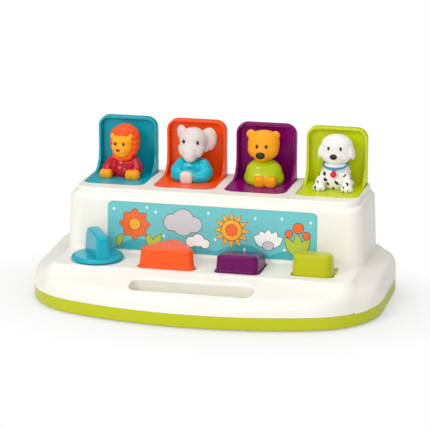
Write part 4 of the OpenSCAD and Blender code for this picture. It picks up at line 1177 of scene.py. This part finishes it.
bear_head = clay("bear_head_vinyl", bear_x, [
    ((0.2, 70.5, 138.4), (15.7, 13.4, 13.4), FLAT, 0.9), ((0.3, 67.5, 133.4), (15.5, 12.6, 11.0)),
    ((0.5, 59.6, 130.0), (8.4, 6.4, 7.2)), ((-13.0, 72.5, 146.8), (4.7, 3.6, 4.7)),
    ((11.5, 72.5, 146.6), (4.5, 3.6, 4.5))])
finish(bear_head, vinyl("amber_vinyl", (252, 164, 14)), "lid_purple", "amber", "bear_head")
bear_eyes = dot("bear_eyes", bear_x, [((x, 56.2, z), (1.3, 1.0, 1.9))
                                      for x, z in ((-3.7, 138.3), (5.6, 138.5))])
bear_nose = dot("bear_nose", bear_x, [((0.5, 53.0, 130.2), (4.7, 2.4, 3.5))])
for bead in (bear_eyes, bear_nose):
    finish(bead, black_gloss, "lid_purple", "amber")

# ---- Dog ----
# White vinyl dog with drooping ears, black spots sprayed on its body and thin lines between its toes, a blue
# collar and a red drop-shaped tag.
dog_x = LID_X[3]
SPOTS = [(-12.5, 114.6, 1.6), (-7.2, 115.5, 1.9), (-5.6, 110, 1.9), (-12.6, 108.2, 1.4), (-14, 104.4, 1.3),
         (-3.6, 105.9, 1.8), (5.2, 107.4, 2.2), (2, 101.8, 1.7), (12.6, 114.4, 1.5), (19.6, 112.6, 1.9),
         (16.6, 108, 1.5), (13.6, 105.6, 1.0)]
SPOT_LEANS, SPOT_SHARE, SPOT_REAR = (-0.45, 0.3, 0.6, -0.2), 0.00076, 0.068
TOES, TOE_HIGH, TOE_HALF, TOE_REAR = (-13.4, -9.0, 13.8, 18.2), 3.4, 0.00038, 0.0475
spotted = vinyl("dog_white_spotted", (243, 240, 234), True)
tree = spotted.node_tree
at = add(tree, "ShaderNodeTexCoord")
split = add(tree, "ShaderNodeSeparateXYZ")
wobble = add(tree, "ShaderNodeTexNoise", {"Scale": 320})
wire(tree, (at, "Object", split, 0), (at, "Object", wobble, "Vector"))


def maths(operation, a, b=0.0):
    """A step of arithmetic on sockets or numbers."""
    step = add(tree, "ShaderNodeMath", operation=operation)
    for i, value in enumerate((a, b)):
        if isinstance(value, (int, float)):
            step.inputs[i].default_value = value
        else:
            tree.links.new(value, step.inputs[i])
    return step.outputs[0]


def from_x(u):
    """How far a point lies to the right of u on the dog, in metres."""
    return maths("SUBTRACT", split.outputs["X"], (dog_x + FIGURE_SHIFT + u) / 1000)


uneven = maths("MULTIPLY", maths("SUBTRACT", wobble.outputs["Fac"], 0.5), 0.0022)
marks = []
for k, (u, v, r) in enumerate(SPOTS):
    dz = maths("SUBTRACT", split.outputs["Z"], v / 1000)
    dx = maths("ADD", from_x(u), maths("MULTIPLY", dz, SPOT_LEANS[k % 4]))
    squared = maths("ADD", maths("MULTIPLY", dx, dx), maths("MULTIPLY", maths("MULTIPLY", dz, dz), 0.75))
    marks.append(maths("LESS_THAN", maths("ADD", maths("SQRT", squared), uneven), r * SPOT_SHARE))
low_toe = maths("LESS_THAN", split.outputs["Z"], (BOX_TOP + TOE_HIGH) / 1000)
for u in TOES:
    line = maths("MULTIPLY", maths("LESS_THAN", maths("ABSOLUTE", from_x(u)), TOE_HALF), low_toe)
    marks.append(maths("MULTIPLY", line, maths("LESS_THAN", split.outputs["Y"], TOE_REAR)))
mask = marks[0]
for mark in marks[1:]:
    mask = maths("MAXIMUM", mask, mark)
mask = maths("MULTIPLY", mask, maths("LESS_THAN", split.outputs["Y"], SPOT_REAR))
inked = add(tree, "ShaderNodeMix", {7: linear((24, 22, 22))}, data_type="RGBA")
paint = tree.nodes["Principled BSDF"].inputs["Base Color"]
tree.links.new(paint.links[0].from_socket, inked.inputs[6])
tree.links.new(mask, inked.inputs[0])
tree.links.new(inked.outputs[2], paint)
dog_body = clay("dog_coat", dog_x, [
    ((2, 69, 107), (15.4, 13.6, 11)), ((2, 70, 103.5), (18, 15, 7)), ((2, 68, 115.5), (14.8, 12, 7)),
    ((2, 67, 121), (12.8, 12.0, 4.8), (-8, 0, 0)), ((2, 61.5, 108), (11.5, 8, 10.5)),
    *limb([(-7.6, 61, 112.5, 5.6), (-10.6, 56, 107.5, 5.4), (-11.0, 52, 104, 4.8)]),
    *limb([(11.6, 61, 112.5, 5.6), (15.2, 56, 107.5, 5.4), (15.8, 52, 104, 4.8)]),
    ((-11.0, 49.8, 103.0), (6.4, 5.4, 4.2)), ((16.0, 49.4, 103.0), (6.4, 5.4, 4.2))], cut=BOX_TOP)
finish(dog_body, spotted, "lid_lime", "dog_white", "dog_body")
dog_head = clay("dog_head_vinyl", dog_x, [
    ((2.1, 70, 139.6), (15.8, 13.2, 12.2), FLAT, 0.92), ((2.0, 69.5, 137.0), (16.8, 12.2, 9.4)),
    ((2.0, 66.8, 131.6), (14.6, 11.4, 9.4)), ((1.6, 60, 130.4), (8.8, 7, 6.8)),
    ((-13.0, 68, 135.0), (2.8, 7.6, 7.4), (0, 12, 0)),
    ((17.1, 69, 135.2), (2.8, 7.6, 7.4), (0, -12, 0))], rounds=5)
finish(dog_head, vinyl("dog_white_vinyl", (240, 236, 230)), "lid_lime", "dog_white", "dog_head")
dog_eyes = dot("dog_eyes", dog_x, [((x, 57.5, 140.2), (1.25, 0.9, 1.9)) for x in (-3.7, 8.1)])
dog_nose = dot("dog_nose", dog_x, [((2, 52.4, 133.2), (3.6, 2.1, 2.8))])
for bead in (dog_eyes, dog_nose):
    finish(bead, black_gloss, "lid_lime", "dog_white")
NECK_R, BAND_HALF_T, BAND_HALF_H, BAND_DIP = 12.0, 0.9, 1.1, 2.4
AROUND_NECK, AROUND_BAND = 72, 12
points = []
for i in range(AROUND_NECK):
    a = 2 * pi * i / AROUND_NECK
    for k in range(AROUND_BAND):
        b = 2 * pi * k / AROUND_BAND
        out = NECK_R + BAND_HALF_T * cos(b)
        points.append((dog_x + FIGURE_SHIFT + 2 + out * cos(a), 66.2 + out * sin(a),
                       123.4 + BAND_DIP * sin(a) + BAND_HALF_H * sin(b)))
collar = tidy(piece("dog_collar_band", points, bands(AROUND_NECK, AROUND_BAND, closed=True)))
collar.data.shade_smooth()
finish(collar, vinyl("collar_blue_paint", (14, 144, 200), True), "lid_lime", "collar_blue", "dog_collar")
tag_drop = limb([(2.2, 53.8, 119.6, 0.9), (2.2, 53.2, 117.6, 2.0), (2.2, 53.0, 115.6, 3.1)], 6)
dog_tag = clay("dog_tag", dog_x, tag_drop, grain=0.4, rounds=4)
finish(dog_tag, vinyl("tag_red_paint", (226, 10, 48), True), "lid_lime", "crimson")
